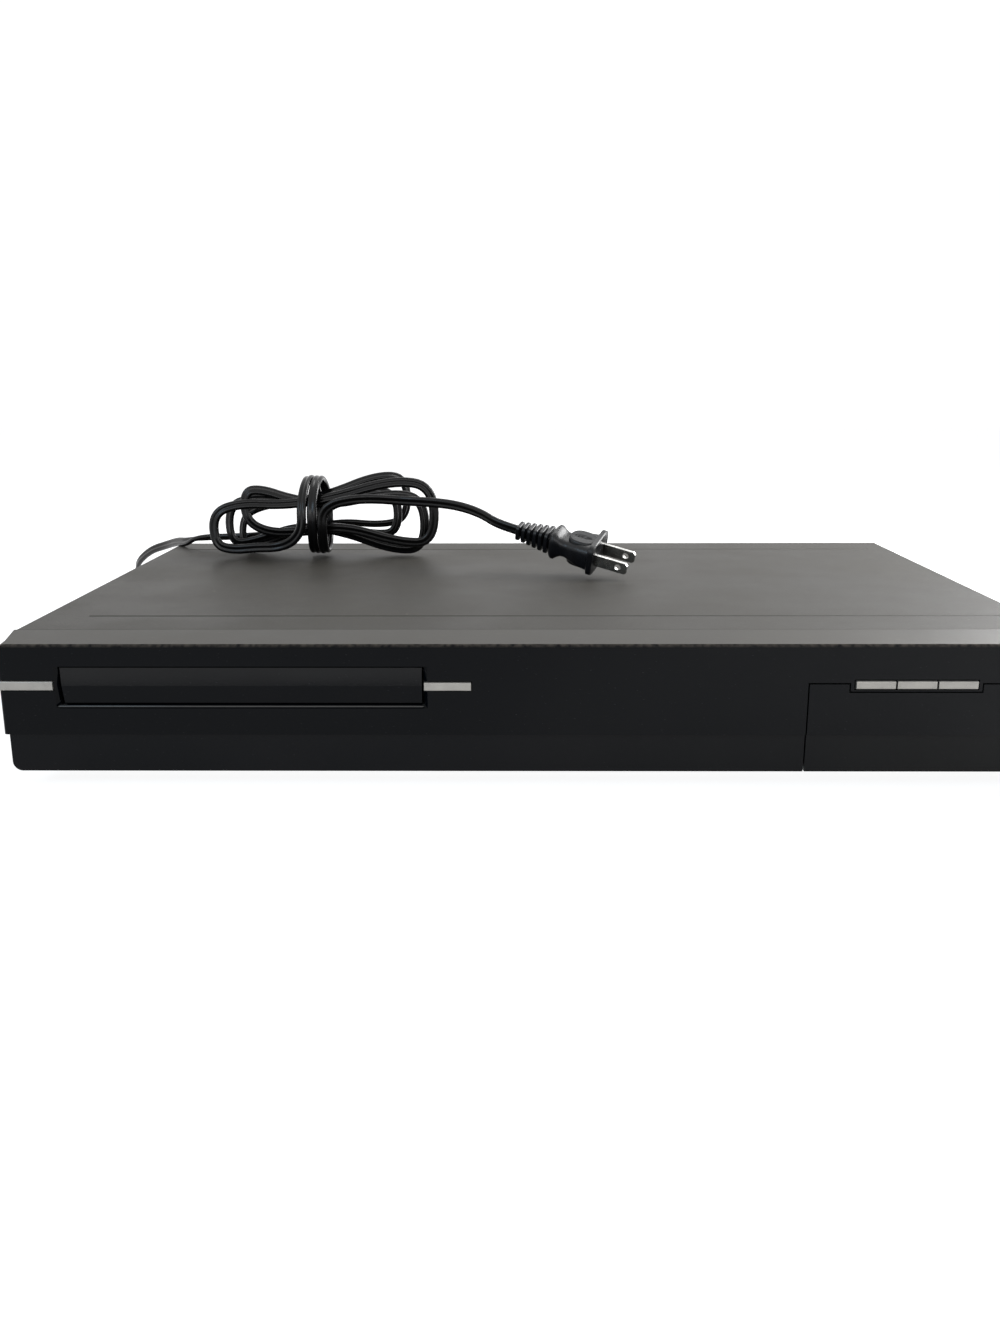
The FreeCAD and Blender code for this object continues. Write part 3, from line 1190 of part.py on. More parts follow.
def front_boards():
    boards = []
    for left, right, low, high in (LEFT_BOARD, CENTRE_BOARD, RIGHT_BOARD):
        boards.append(box((left, right), (FRONT_BOARD_Y, FRONT_BOARD_Y + BOARD), (low, high)))
    boards.append(box((BAY_LEFT, BAY_RIGHT), (JACK_BOARD_Y, JACK_BOARD_Y + BOARD), (BAY_LOW, BAY_HIGH)))
    return boards


def tact_switches():
    switches = []
    for left, right, low, high in BUTTONS.values():
        x, z = (left + right) / 2, (low + high) / 2
        body = box(span(x, SWITCH_SIZE), (SWITCH_FRONT, FRONT_BOARD_Y), span(z, SWITCH_SIZE))
        plunger = rod((x, PLUNGER_TIP, z), ALONG_Y, PLUNGER_RADIUS, PLUNGER_LENGTH)
        switches.append(join(body, plunger))
    return switches


def display_tube():
    y = (FRONT_BOARD_Y - DISPLAY_THICK, FRONT_BOARD_Y)
    tube = box((DISPLAY_LEFT, DISPLAY_RIGHT), y, (DISPLAY_LOW, DISPLAY_HIGH))
    return tube.makeChamfer(1.0, edges_along(tube, 0, lambda p: p.y < y[0] + 1))


def button(name):
    left, right, low, high = BUTTONS[name]
    cap_back = WALL_FRONT - BUTTON_TRAVEL - 0.2
    cap = box((left, right), (FRONT_Y - BUTTON_PROUD, cap_back), (low, high))
    cap = cap.makeFillet(0.5, edges_along(cap, 0, lambda p: p.y < FRONT_Y))
    neck_x, neck_z = neck_room(name, 0.0)
    flange_y = WALL_BACK + FLANGE_GAP
    neck = box(neck_x, (cap_back - 0.1, flange_y), neck_z)
    flange = box(
        grown(neck_x, FLANGE_SPREAD), (flange_y, flange_y + FLANGE_THICK), grown(neck_z, FLANGE_SPREAD)
    )
    stem = box(span((left + right) / 2, 3.0), (flange_y, STEM_END), neck_z)
    pieces = [neck, flange, stem]
    if name == "standby_button":
        pieces.append(box((left, left + END_LEG), (FRONT_Y, FRONT_Y + 5.5), (low, high)))
    return join(cap, *pieces)


def flap_face():
    face = box((FLAP_LEFT, WINDOW_X), (FRONT_Y, FRONT_Y + FLAP_FACE), (SKIRT_TOP, FLAP_TOP))
    face = face.makeFillet(
        FLAP_FACE - 0.2, edges_along(face, 2, lambda p: p.x > WINDOW_X - 1 and p.y < FRONT_Y + 0.1)
    )
    notch = box(
        grown((ISLAND_LEFT, ISLAND_RIGHT), FLAP_GAP),
        (FRONT_Y - 1, WALL_BACK),
        (ISLAND_LOW - FLAP_GAP, CASE_HEIGHT),
    )
    return face.cut(notch)


def flap_door():
    plate = box(
        (FLAP_LEFT, SKIRT_X + 1.0), (FRONT_Y + FLAP_FACE, FRONT_Y + FLAP_THICK), (SKIRT_TOP, FLAP_TOP)
    )
    skirt = box((FLAP_LEFT, SKIRT_X), (FRONT_Y + SKIRT_BACK, FRONT_Y + FLAP_THICK), (PANEL_BOTTOM, SKIRT_TOP))
    skirt = skirt.makeFillet(
        SKIRT_CORNER, edges_along(skirt, 1, lambda p: p.z < SKIRT_TOP - 1 and p.x > SKIRT_X - 1)
    )
    notch = box(
        grown((ISLAND_LEFT, ISLAND_RIGHT), FLAP_GAP),
        (FRONT_Y - 1, WALL_BACK),
        (ISLAND_LOW - FLAP_GAP, CASE_HEIGHT),
    )
    pieces = []
    for x, pin_x in (
        (EAR_LEFT + EAR_THICK + FIT_GAP, EAR_LEFT + FIT_GAP),
        (EAR_RIGHT - FIT_GAP - LUG_WIDTH, EAR_RIGHT - FIT_GAP - LUG_WIDTH),
    ):
        lug = rod((x, FLAP_AXIS_Y, FLAP_AXIS_Z), ALONG_X, HINGE_RADIUS, LUG_WIDTH)
        web = box(
            (x, x + LUG_WIDTH),
            (FRONT_Y + FLAP_THICK - 0.5, FLAP_AXIS_Y),
            span(FLAP_AXIS_Z, 2 * HINGE_RADIUS),
        )
        pin = rod((pin_x, FLAP_AXIS_Y, FLAP_AXIS_Z), ALONG_X, HINGE_PIN, LUG_WIDTH + EAR_THICK)
        pieces += [lug, web, pin]
    return join(plate.cut(notch), skirt, *pieces)


def board_on_posts(limits):
    x, y = limits
    return box(x, y, (BOARD_Z, BOARD_TOP))


MAIN_CHIPS = [
    (28.0, 28.0, 2.4, 40.0, 60.0),
    (20.0, 12.0, 1.4, 76.0, 44.0),
    (20.0, 12.0, 1.4, 76.0, 66.0),
    (14.0, 20.0, 1.6, 20.0, 96.0),
    (18.0, 18.0, 1.8, 60.0, 98.0),
    (12.0, 12.0, 1.4, 24.0, 30.0),
]


def chip_corner(from_left, from_front):
    return MAIN_BOARD[0][0] + from_left, MAIN_BOARD[1][0] + from_front


def main_chips():
    chips = []
    for width, depth, height, from_left, from_front in MAIN_CHIPS:
        x, y = chip_corner(from_left, from_front)
        chips.append(box((x, x + width), (y, y + depth), (BOARD_TOP, BOARD_TOP + height)))
    return chips


FIN = 1.2
FIN_PITCH = 4.4


def finned(x, y, low, base, top):
    """Aluminium extrusion: a base plate with upright fins along Y."""
    block = box(x, y, (low, low + base))
    count = int((x[1] - x[0] - FIN) / FIN_PITCH) + 1
    first = (x[0] + x[1] - (count - 1) * FIN_PITCH) / 2
    fins = [box(span(first + i * FIN_PITCH, FIN), y, (low + base, top)) for i in range(count)]
    return join(block, *fins)


def heat_sinks():
    width, depth, height, from_left, from_front = MAIN_CHIPS[0]
    x, y = chip_corner(from_left, from_front)
    low = BOARD_TOP + height
    sinks = [finned((x, x + width), (y, y + depth), low, 2.0, low + 12.0)]
    (x0, x1), (y0, y1) = POWER_BOARD
    for from_left in (28.0, 74.0):
        plate = box(
            (x0 + from_left, x0 + from_left + 2.0), (y0 + 6.0, y0 + 46.0), (BOARD_TOP, BOARD_TOP + 30.0)
        )
        lip = box(
            (x0 + from_left, x0 + from_left + 9.0),
            (y0 + 6.0, y0 + 46.0),
            (BOARD_TOP + 28.0, BOARD_TOP + 30.0),
        )
        sinks.append(join(plate, lip))
    return sinks


def power_parts():
    (x0, x1), (y0, y1) = POWER_BOARD
    core = box((x0 + 44.0, x0 + 70.0), (y0 + 10.0, y0 + 42.0), (BOARD_TOP + 4.0, BOARD_TOP + 26.0))
    bobbin = box((x0 + 47.0, x0 + 67.0), (y0 + 13.0, y0 + 39.0), (BOARD_TOP, BOARD_TOP + 31.0))
    parts = [join(core, bobbin)]
    parts.append(rod((x0 + 14.0, y0 + 20.0, BOARD_TOP), ALONG_Z, 10.5, 33.0))
    for x in (84.0, 94.0):
        for y in (12.0, 24.0, 36.0):
            parts.append(rod((x0 + x, y0 + y, BOARD_TOP), ALONG_Z, 4.0, 16.0))
    parts.append(box((x0 + 5.0, x0 + 22.0), (y0 + 36.0, y0 + 52.0), (BOARD_TOP, BOARD_TOP + 20.0)))
    parts.append(rod((x0 + 34.0, y0 + 49.0, BOARD_TOP + 4.0), ALONG_X, 3.0, 20.0))
    holders = [
        box((x0 + x, x0 + x + 4.0), (y0 + 45.5, y0 + 52.5), (BOARD_TOP, BOARD_TOP + 4.0))
        for x in (34.0, 50.0)
    ]
    parts[-1] = join(parts[-1], *holders)
    return parts


def hdd_casting():
    y0 = FRONT_Y + HDD_FROM_FRONT
    body = box((HDD_LEFT, HDD_LEFT + HDD_WIDTH), (y0, y0 + HDD_LENGTH), (HDD_LOW, HDD_LOW + HDD_HEIGHT))
    body = body.makeFillet(3.0, edges_along(body, 2, lambda p: True))
    pocket = box(
        (HDD_LEFT + 4.0, HDD_LEFT + HDD_WIDTH - 4.0), (y0 + 22.0, y0 + HDD_LENGTH - 30.0), (
            HDD_LOW - 1, HDD_LOW + 3.0
        )
    )
    plug = box(
        (HDD_LEFT + 12.0, HDD_LEFT + 84.0),
        (y0 + HDD_LENGTH - 6.0, y0 + HDD_LENGTH + 1),
        (HDD_LOW + 2.0, HDD_LOW + 10.0),
    )
    return body.cut([pocket, plug])


def hdd_lid():
    y0 = FRONT_Y + HDD_FROM_FRONT
    top = HDD_LOW + HDD_HEIGHT
    lid = box(
        (HDD_LEFT + 1.0, HDD_LEFT + HDD_WIDTH - 1.0),
        (y0 + 1.0, y0 + HDD_LENGTH - 1.0),
        (top, top + HDD_LID),
    )
    lid = lid.makeFillet(6.0, edges_along(lid, 2, lambda p: True))
    ring = rod((HDD_LEFT + HDD_WIDTH / 2, y0 + 55.0, top + HDD_LID - 0.6), ALONG_Z, 44.0, 2.0)
    inner = rod((HDD_LEFT + HDD_WIDTH / 2, y0 + 55.0, top + HDD_LID - 2.0), ALONG_Z, 12.0, 4.0)
    return lid.cut(ring.cut(inner))


def tuner_can():
    x, y, z = TUNER
    can = box(x, y, z)
    lip = [
        box(span((x[0] + x[1]) / 2 + dx, 3.0), grown(y, 1), (z[1] - 1.0, z[1] + 1))
        for dx in (-10.0, 0.0, 10.0)
    ]
    return can.cut([slot.common(box(x, grown(y, -6), (z[0], z[1] + 2))) for slot in lip])


def antenna_sockets():
    sockets = []
    for z in ANTENNA_LEVELS:
        barrel = rod((ANTENNA_X, REAR_INNER, z), ALONG_Y, ANTENNA_RADIUS, SHEET + JACK_REACH)
        nut = Part.makePolygon(
            [
                V(ANTENNA_X + 6.4 * math.cos(k * math.pi / 3), BACK_Y, z + 6.4 * math.sin(k * math.pi / 3))
                for k in range(7)
            ]
        )
        hexagon = Part.Face(nut).extrude(V(0, 2.0, 0))
        hole = rod((ANTENNA_X, BACK_Y + 3.0, z), ALONG_Y, ANTENNA_HOLE, JACK_REACH)
        sockets.append(join(barrel, hexagon).cut(hole))
    return sockets


def jack_blocks():
    y = (REAR_INNER - BLOCK_DEPTH, BACK_Y)
    low, high = BOARD_TOP, RCA_LOW + (RCA_ROWS - 0.5) * RCA_PITCH
    cut_low = RCA_LOW - RCA_PITCH / 2
    blocks = []
    for x in RCA_COLUMNS + (SVIDEO_X,):
        blocks.append(box(span(x, BLOCK_WIDTH), y, (max(low, cut_low), high)))
    optical = box(span(OPTICAL_X, BLOCK_WIDTH), y, (max(low, cut_low), RCA_LOW + RCA_PITCH / 2))
    port = box(span(OPTICAL_X, 7.0), (BACK_Y - 3.0, BACK_Y + 1), span(RCA_LOW, 7.0))
    blocks.append(optical.cut(port))
    svideo = blocks[len(RCA_COLUMNS)]
    holes = []
    for z in (RCA_LOW, RCA_LOW + 2 * RCA_PITCH):
        holes.append(rod((SVIDEO_X, BACK_Y - 5.0, z), ALONG_Y, 4.6, 6.0))
    blocks[len(RCA_COLUMNS)] = svideo.cut(holes)
    return blocks


def rca_barrel(x, start, z, toward):
    """Nickel shell of an RCA jack, standing out from start along toward."""
    length = JACK_REACH - RCA_RING_PROUD
    outer = rod((x, start, z), toward, RCA_RADIUS, length)
    return outer.cut(rod((x, start - 20.0, z), ALONG_Y, RCA_RADIUS - RCA_WALL, 40.0))


def rca_core(x, face, z, toward):
    """Coloured ring and core of an RCA jack, with the hole for the plug's pin."""
    ring = rod((x, face, z), toward, RCA_RING, RCA_RING_PROUD)
    core = rod((x, face, z), toward, RCA_RADIUS - RCA_WALL - SEAT_GAP, JACK_REACH - 1.0)
    start = face + toward[1] * (RCA_RING_PROUD + 0.4)
    return join(ring, core).cut(rod((x, start, z), toward, RCA_CORE_HOLE, JACK_REACH))


def rca_barrels():
    return [rca_barrel(x, BACK_Y + RCA_RING_PROUD, z, ALONG_Y) for x, z in rca_places()]


def rca_insulators():
    return [rca_core(x, BACK_Y, z, ALONG_Y) for x, z in rca_places()]


def hdmi_socket():
    y = (REAR_INNER - HDMI_DEPTH, BACK_Y + 0.4)
    z = span(HDMI_Z, HDMI_HEIGHT)
    shell = box(span(HDMI_X, HDMI_WIDTH), y, z)
    room_x, room_z = grown(span(HDMI_X, HDMI_WIDTH), -HDMI_WALL), grown(z, -HDMI_WALL)
    shell = shell.cut(box(room_x, (y[0] + 2.0, y[1] + 1), room_z))
    tongue = box(span(HDMI_X, HDMI_WIDTH - 3.6), (y[0] + 1.0, y[1] - 1.5), (HDMI_Z - 0.2, HDMI_Z + 1.0))
    stand = box(span(HDMI_X, HDMI_WIDTH - 2.0), (y[0], y[0] + 8.0), (BOARD_TOP, z[0]))
    return join(shell, tongue, stand)


def front_jacks():
    toward = (0, -1, 0)
    back = BAY_FLOOR + BAY_WALL
    jacks = []
    for x in FRONT_RCA_X:
        block = box(span(x, BLOCK_WIDTH), (back, JACK_BOARD_Y), span(FRONT_RCA_Z, BLOCK_WIDTH))
        neck = rod((x, back, FRONT_RCA_Z), toward, RCA_RING, BAY_WALL)
        jacks.append(join(block, neck))
        jacks.append(rca_core(x, BAY_FLOOR, FRONT_RCA_Z, toward))
    block = box(span(FRONT_SVIDEO_X, BLOCK_WIDTH), (back, JACK_BOARD_Y), span(FRONT_RCA_Z, BLOCK_WIDTH))
    neck = rod((FRONT_SVIDEO_X, back, FRONT_RCA_Z), toward, RCA_RING, BAY_WALL)
    hole = rod((FRONT_SVIDEO_X, back, FRONT_RCA_Z), toward, 4.2, BAY_WALL + 1)
    jacks.append(join(block, neck.cut(hole)))
    return jacks


def front_jack_barrels():
    return [rca_barrel(x, BAY_FLOOR - RCA_RING_PROUD, FRONT_RCA_Z, (0, -1, 0)) for x in FRONT_RCA_X]


def fan_frame():
    y = (REAR_INNER - FAN_THICK, REAR_INNER)
    frame = box(span(FAN_X, FAN_SIZE), y, span(FAN_Z, FAN_SIZE))
    frame = frame.makeFillet(3.0, edges_along(frame, 1, lambda p: True))
    bore = rod((FAN_X, y[0] - 1, FAN_Z), ALONG_Y, FAN_BORE, FAN_THICK + 2)
    struts = []
    for k in range(3):
        strut = box((0, FAN_BORE + 0.6), (y[0], y[0] + 1.6), (-1.2, 1.2))
        strut.rotate(V(0, 0, 0), V(0, 1, 0), 120.0 * k + 30.0)
        strut.translate(V(FAN_X, 0, FAN_Z))
        struts.append(strut)
    hub = rod((FAN_X, y[0], FAN_Z), ALONG_Y, FAN_HUB, 2.4)
    axle = rod((FAN_X, y[0], FAN_Z), ALONG_Y, AXLE_RADIUS, 9.0)
    return join(frame.cut(bore), *struts, hub, axle)


def fan_rotor():
    start = REAR_INNER - FAN_THICK + 2.4 + FIT_GAP
    length = FAN_THICK - 2.4 - 2 * FIT_GAP - 1.0
    hub = rod((FAN_X, start, FAN_Z), ALONG_Y, FAN_HUB, length)
    blades = []
    for k in range(FAN_BLADES):
        reach = FAN_TIP - FAN_HUB + 1.0
        blade = Part.makeBox(reach, length + 3.0, 1.2, V(FAN_HUB - 1.0, -(length + 3.0) / 2, -0.6))
        blade.rotate(V(0, 0, 0), V(1, 0, 0), 38.0)
        room = box((0, FAN_SIZE), (-length / 2 + 0.4, length / 2 - 0.4), (-FAN_SIZE, FAN_SIZE))
        blade = blade.common(room)
        blade.rotate(V(0, 0, 0), V(0, 1, 0), 360.0 * k / FAN_BLADES)
        blade.translate(V(FAN_X, start + length / 2, FAN_Z))
        blades.append(blade)
    swept = rod((FAN_X, start, FAN_Z), ALONG_Y, FAN_TIP, length)
    bore = rod((FAN_X, start - 1, FAN_Z), ALONG_Y, AXLE_RADIUS + PIN_CLEARANCE, 8.0)
    return join(hub, *blades).common(swept).cut(bore)


def unit(vector):
    return V(*vector).normalize()


def arc_edge(start, leaving, end):
    """Arc from start to end that leaves start in the given direction."""
    chord = end - start
    turn = leaving.getAngle(chord)
    if turn < 1e-4:
        return Part.LineSegment(start, end).toShape()
    over = (leaving + V(chord).normalize()).normalize()
    middle = start + over * (chord.Length / (2 * math.cos(turn / 2)))
    return Part.Arc(start, middle, end).toShape()


def biarc(start, leaving, end, arriving):
    """Two tangent arcs from start to end, alike in reach."""
    chord = end - start
    along = chord.dot(leaving + arriving)
    spread = 2 * (1 - leaving.dot(arriving))
    if spread < 1e-9:
        reach = chord.dot(chord) / (2 * along)
    else:
        reach = (math.sqrt(along**2 + spread * chord.dot(chord)) - along) / spread
    meet = (start + leaving * reach + end - arriving * reach) * 0.5
    second = arc_edge(end, arriving * -1, meet)
    return [arc_edge(start, leaving, meet), second]


def hank_stations():
    """Points along the hank with the cord's direction at each: in, round the loops, wraps, out."""
    step = LAYER_STEP / 4
    y = HANK_BACK_Y
    stations = [((WAIST_X - 57.0, y + 7.5, CASE_HEIGHT + 8.0), (1.0, -0.26, 0.05))]
    for lean, right, left in HANK_LOOPS:
        rise = (math.cos(math.radians(lean)), 0.0, math.sin(math.radians(lean)))
        low_x, high_x = WAIST_X + WAIST_HALF_LENGTH, WAIST_X - WAIST_HALF_LENGTH
        stations.append(((low_x, y, HANK_Z - WAIST_HALF_HEIGHT), rise))
        stations.append(((WAIST_X + right[0], y - step, HANK_Z + right[1]), (0, 0, 1)))
        stations.append(((high_x, y - 2 * step, HANK_Z + WAIST_HALF_HEIGHT), (-rise[0], 0.0, -rise[2])))
        stations.append(((WAIST_X + left[0], y - 3 * step, HANK_Z + left[1]), (0, 0, -1)))
        y -= LAYER_STEP
    stations.append(((WAIST_X - 24.0, y - 1.0, CASE_HEIGHT + 6.5), (1, 0, 0)))
    depth = HANK_HALF_DEPTH + WRAP_ROOM
    x = WAIST_X - WRAP_STEP / 2
    for turn in range(WRAPS):
        for dy, dz, way in ((-1, 0, (0, 0, 1)), (0, 1, (0, 1, 0)), (1, 0, (0, 0, -1)), (0, -1, (0, -1, 0))):
            stations.append(((x, HANK_Y + dy * depth, HANK_Z + dz * WRAP_HALF_HEIGHT), way))
            x += WRAP_STEP / 4
    front = HANK_Y - depth
    stations.append(((x, front, HANK_Z - 2.0), (0, 0, 1)))
    stations.append(((x + 22.0, front - 1.0, HANK_Z + 11.0), (1, 0.05, 0.05)))
    stations.append(((WAIST_X + 59.0, front - 0.5, HANK_Z + 9.8), (0.894, -0.45, 0.0)))
    return [(V(*place), unit(way)) for place, way in stations]


def cord_hank():
    stations = hank_stations()
    ends = 2 * CORD_RADIUS
    first, last = stations[0], stations[-1]
    start, end = first[0] - first[1] * ends, last[0] + last[1] * ends
    edges = [Part.LineSegment(start, first[0]).toShape()]
    for (place, way), (next_place, next_way) in zip(stations, stations[1:]):
        edges += biarc(place, way, next_place, next_way)
    edges.append(Part.LineSegment(last[0], end).toShape())
    radii = [edge.Curve.Radius for edge in edges if hasattr(edge.Curve, "Radius")]
    path = Part.Wire(Part.__sortEdges__(edges))
    print("hank: length %.0f, tightest radius %.1f" % (path.Length, min(radii)))
    print("hank: least gap to itself %.2f" % least_gap(path))
    return sweep(path, start, first[1])


def least_gap(path):
    """Least clear space between two stretches of a path's tube that aren't neighbours."""
    count = int(path.Length / 1.2)
    points = [(p.x, p.y, p.z) for p in path.discretize(Number=count)]
    apart = int(16.0 / 1.2)
    least = min(
        (a[0] - b[0]) ** 2 + (a[1] - b[1]) ** 2 + (a[2] - b[2]) ** 2
        for i, a in enumerate(points)
        for b in points[i + apart:]
    )
    return math.sqrt(least) - 2 * CORD_RADIUS


def sweep(path, start, way):
    """Tube of flat sides along a path."""
    across = way.cross(V(0, 0, 1)).normalize()
    up = across.cross(way)
    angles = [2 * math.pi * (k + 0.5) / CORD_SIDES for k in range(CORD_SIDES)]
    corners = [start + (across * math.cos(a) + up * math.sin(a)) * CORD_RADIUS for a in angles]
    profile = Part.makePolygon(corners + corners[:1])
    tube = path.makePipeShell([profile], True, False)
    section = Part.Face(profile).Area
    print("tube: volume %.0f, section times length %.0f" % (tube.Volume, section * path.Length))
    return tube


def cord_tube(route):
    """Tube along straight runs whose corners are rounded as far as the runs allow."""
    points = [V(*point) for point in route]
    edges, radii = [], []
    last = points[0]
    for before, corner, after in zip(points, points[1:], points[2:]):
        short = min((corner - before).Length, (after - corner).Length)
        inward, outward = (corner - before).normalize(), (after - corner).normalize()
        turn = inward.getAngle(outward)
        cut = 0.45 * short
        radii.append(cut / math.tan(turn / 2))
        start, end = corner - inward * cut, corner + outward * cut
        edges.append(Part.LineSegment(last, start).toShape())
        edges.append(arc_edge(start, inward, end))
        last = end
    edges.append(Part.LineSegment(last, points[-1]).toShape())
    path = Part.Wire(Part.__sortEdges__(edges))
    print("cord: length %.0f, radii" % path.Length, [round(radius) for radius in radii])
    return sweep(path, points[0], (points[1] - points[0]).normalize())


def cord_lead():
    place, way = hank_stations()[0]
    end = place - way * (2 * CORD_RADIUS)
    before = end - way * 12.0
    return cord_tube(
        [
            CORD_START,
            (CORD_X, BACK_Y + 24.0, CORD_Z),
            (CORD_X - 6.0, BACK_Y + 41.8, CORD_Z - 2.0),
            (CORD_X - 24.0, BACK_Y + 56.8, CORD_Z - 2.5),
            (CORD_X - 47.0, BACK_Y + 57.8, CORD_Z + 1.0),
            (CORD_X - 62.0, BACK_Y + 44.8, CORD_Z + 8.5),
            (CORD_X - 60.0, BACK_Y + 29.8, CASE_HEIGHT - 18.0),
            (CORD_X - 46.5, BACK_Y + 18.8, CASE_HEIGHT - 7.0),
            (CORD_X - 32.0, BACK_Y + 8.8, CASE_HEIGHT + 1.0),
            (CORD_X - 21.0, BACK_Y - 4.2, CASE_HEIGHT + 5.5),
            (CORD_X - 12.5, BACK_Y - 15.7, CASE_HEIGHT + 7.0),
            tuple(before),
            tuple(end),
        ]
    )


def cord_tail():
    place, way = hank_stations()[-1]
    start = place + way * (2 * CORD_RADIUS)
    end = V(*PLUG_FACE) - unit(PLUG_ALONG) * (PLUG_LENGTH + RELIEF_LENGTH)
    before = end - unit(PLUG_ALONG) * 12.0
    return cord_tube(
        [
            tuple(start),
            tuple(start + way * 13.0),
            (WAIST_X + 88.0, HANK_BACK_Y - 49.5, CASE_HEIGHT + 32.3),
            (WAIST_X + 99.5, HANK_BACK_Y - 58.5, CASE_HEIGHT + 29.3),
            tuple(before),
            tuple(end),
        ]
    )


def in_plug_frame(shape):
    """Move a shape from the plug's own axes: along its blades, across them, and up."""
    along = unit(PLUG_ALONG)
    up = along.cross(V(*PLUG_ACROSS)).normalize()
    across = up.cross(along)
    shape = shape.copy()
    shape.Placement = FreeCAD.Placement(V(*PLUG_FACE), FreeCAD.Rotation(along, across, up, "XYZ"))
    return shape


def oval(x, width, height):
    """Flat-sided oval across the plug at a place along it."""
    half, radius = (width - height) / 2, height / 2
    left, right = -half, half
    edges = [
        Part.LineSegment(V(x, left, -radius), V(x, right, -radius)).toShape(),
        Part.Arc(V(x, right, -radius), V(x, right + radius, 0), V(x, right, radius)).toShape(),
        Part.LineSegment(V(x, right, radius), V(x, left, radius)).toShape(),
        Part.Arc(V(x, left, radius), V(x, left - radius, 0), V(x, left, -radius)).toShape(),
    ]
    return Part.Wire(edges)


def plug_body():
    plate = box((-PLUG_PLATE, 0), span(0, PLUG_WIDTH), span(0, PLUG_HEIGHT))
    plate = plate.makeFillet(3.0, edges_along(plate, 0, lambda p: True))
    back = -PLUG_LENGTH
    grip = Part.makeLoft(
        [
            oval(-PLUG_PLATE, 21.0, 13.0),
            oval(-PLUG_PLATE - 6.0, 16.5, 11.5),
            oval(back + 9.0, 15.5, 11.0),
            oval(back + 4.0, 17.5, 11.5),
            oval(back, 12.0, 2 * RELIEF_FRONT_RADIUS + 0.6),
        ],
        True,
        True,
    )
    return in_plug_frame(join(plate, grip))


def plug_strain_relief():
    """Tapered sleeve with ribs, turned round the plug's axis."""
    back, front = -PLUG_LENGTH - RELIEF_LENGTH, -PLUG_LENGTH
    pitch = RELIEF_LENGTH / (RELIEF_RIBS + 0.5)
    outline = [V(back, 0, 0)]
    for rib in range(RELIEF_RIBS + 1):
        low = back + rib * pitch
        share = rib / RELIEF_RIBS
        core = RELIEF_BACK_RADIUS + share * (RELIEF_FRONT_RADIUS - RELIEF_BACK_RADIUS) - RELIEF_RIB
        outline += [V(low, 0, core + RELIEF_RIB), V(low + pitch / 2, 0, core + RELIEF_RIB)]
        if rib < RELIEF_RIBS:
            outline += [V(low + pitch / 2, 0, core), V(low + pitch, 0, core)]
    outline += [V(front, 0, 0)]
    face = Part.Face(Part.makePolygon(outline + outline[:1]))
    return in_plug_frame(face.revolve(V(0, 0, 0), V(1, 0, 0), 360))


def plug_blades():
    blades = []
    for side in (-1, 1):
        across = span(side * BLADE_SPACING / 2, BLADE_THICK)
        blade = box((0, BLADE_LENGTH), across, span(0, BLADE_WIDTH))
        blade = blade.makeChamfer(1.2, edges_along(blade, 1, lambda p: p.x > BLADE_LENGTH - 1))
        hole = rod((BLADE_HOLE_FROM_FACE, across[0] - 1, 0), ALONG_Y, BLADE_HOLE, BLADE_THICK + 2)
        blades.append(in_plug_frame(blade.cut(hole)))
    return blades


def save(name, shape):
    """Keep one named piece; a list is a group of like pieces."""
    shape = Part.makeCompound(shape) if isinstance(shape, list) else shape
    for solid in shape.Solids:
        if not solid.isValid():
            print("not valid:", name)
    solids[name] = shape


save("chassis_pan", chassis_pan())
save("top_cover", top_cover())
save("rear_panel", rear_panel())
save("front_bezel", front_bezel())
save("socket_bay", socket_bay())
save("front_window", front_window())
save("top_trim", top_trim())
save("rubber_feet", rubber_feet())
save("case_screws", case_screws())
save("cord_bushing", cord_bushing())
save("loader_chassis", loader_chassis())
save("clamp_bridge", clamp_bridge())
save("clamper", clamper())
save("disc_tray", disc_tray())
save("tray_door", tray_door())
save("loading_motor", loading_motor())
save("motor_pulley", motor_pulley())
save("loading_belt", loading_belt())
save("pulley_gear", pulley_gear())
save("drive_gear", drive_gear())
save("cam_slider", cam_slider())
save("traverse_frame", traverse_frame())
save("guide_rods", guide_rods())
save("traverse_motors", traverse_motors())
save("turntable", turntable())
save("pickup_sled", pickup_sled())
save("lead_screw", lead_screw())
save("hdd_casting", hdd_casting())
save("hdd_lid", hdd_lid())
save("main_board", board_on_posts(MAIN_BOARD))
save("main_chips", main_chips())
save("heat_sinks", heat_sinks())
save("power_board", board_on_posts(POWER_BOARD))
save("power_parts", power_parts())
save("av_board", board_on_posts(AV_BOARD))
save("tuner_can", tuner_can())
save("antenna_sockets", antenna_sockets())
save("jack_blocks", jack_blocks())
save("rca_barrels", rca_barrels())
save("rca_insulators", rca_insulators())
save("hdmi_socket", hdmi_socket())
save("fan_frame", fan_frame())
save("fan_rotor", fan_rotor())
save("front_boards", front_boards())
save("tact_switches", tact_switches())
save("display_tube", display_tube())
save("front_jacks", front_jacks())
save("front_jack_barrels", front_jack_barrels())
save("flap_door", flap_door())
save("flap_face", flap_face())
for button_name in BUTTONS:
    save(button_name, button(button_name))
save("power_cord", [cord_lead(), cord_tail()])
save("cord_hank", cord_hank())
save("plug_strain_relief", plug_strain_relief())
save("plug_body", plug_body())
save("plug_blades", plug_blades())

os.makedirs("parts", exist_ok=True)
for name, shape in solids.items():
    shape.exportStep(os.path.join("parts", name + ".step"))
print(len(solids), "sub-parts written")
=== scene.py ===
import math

import bmesh
import bpy
from mathutils import Matrix, Vector


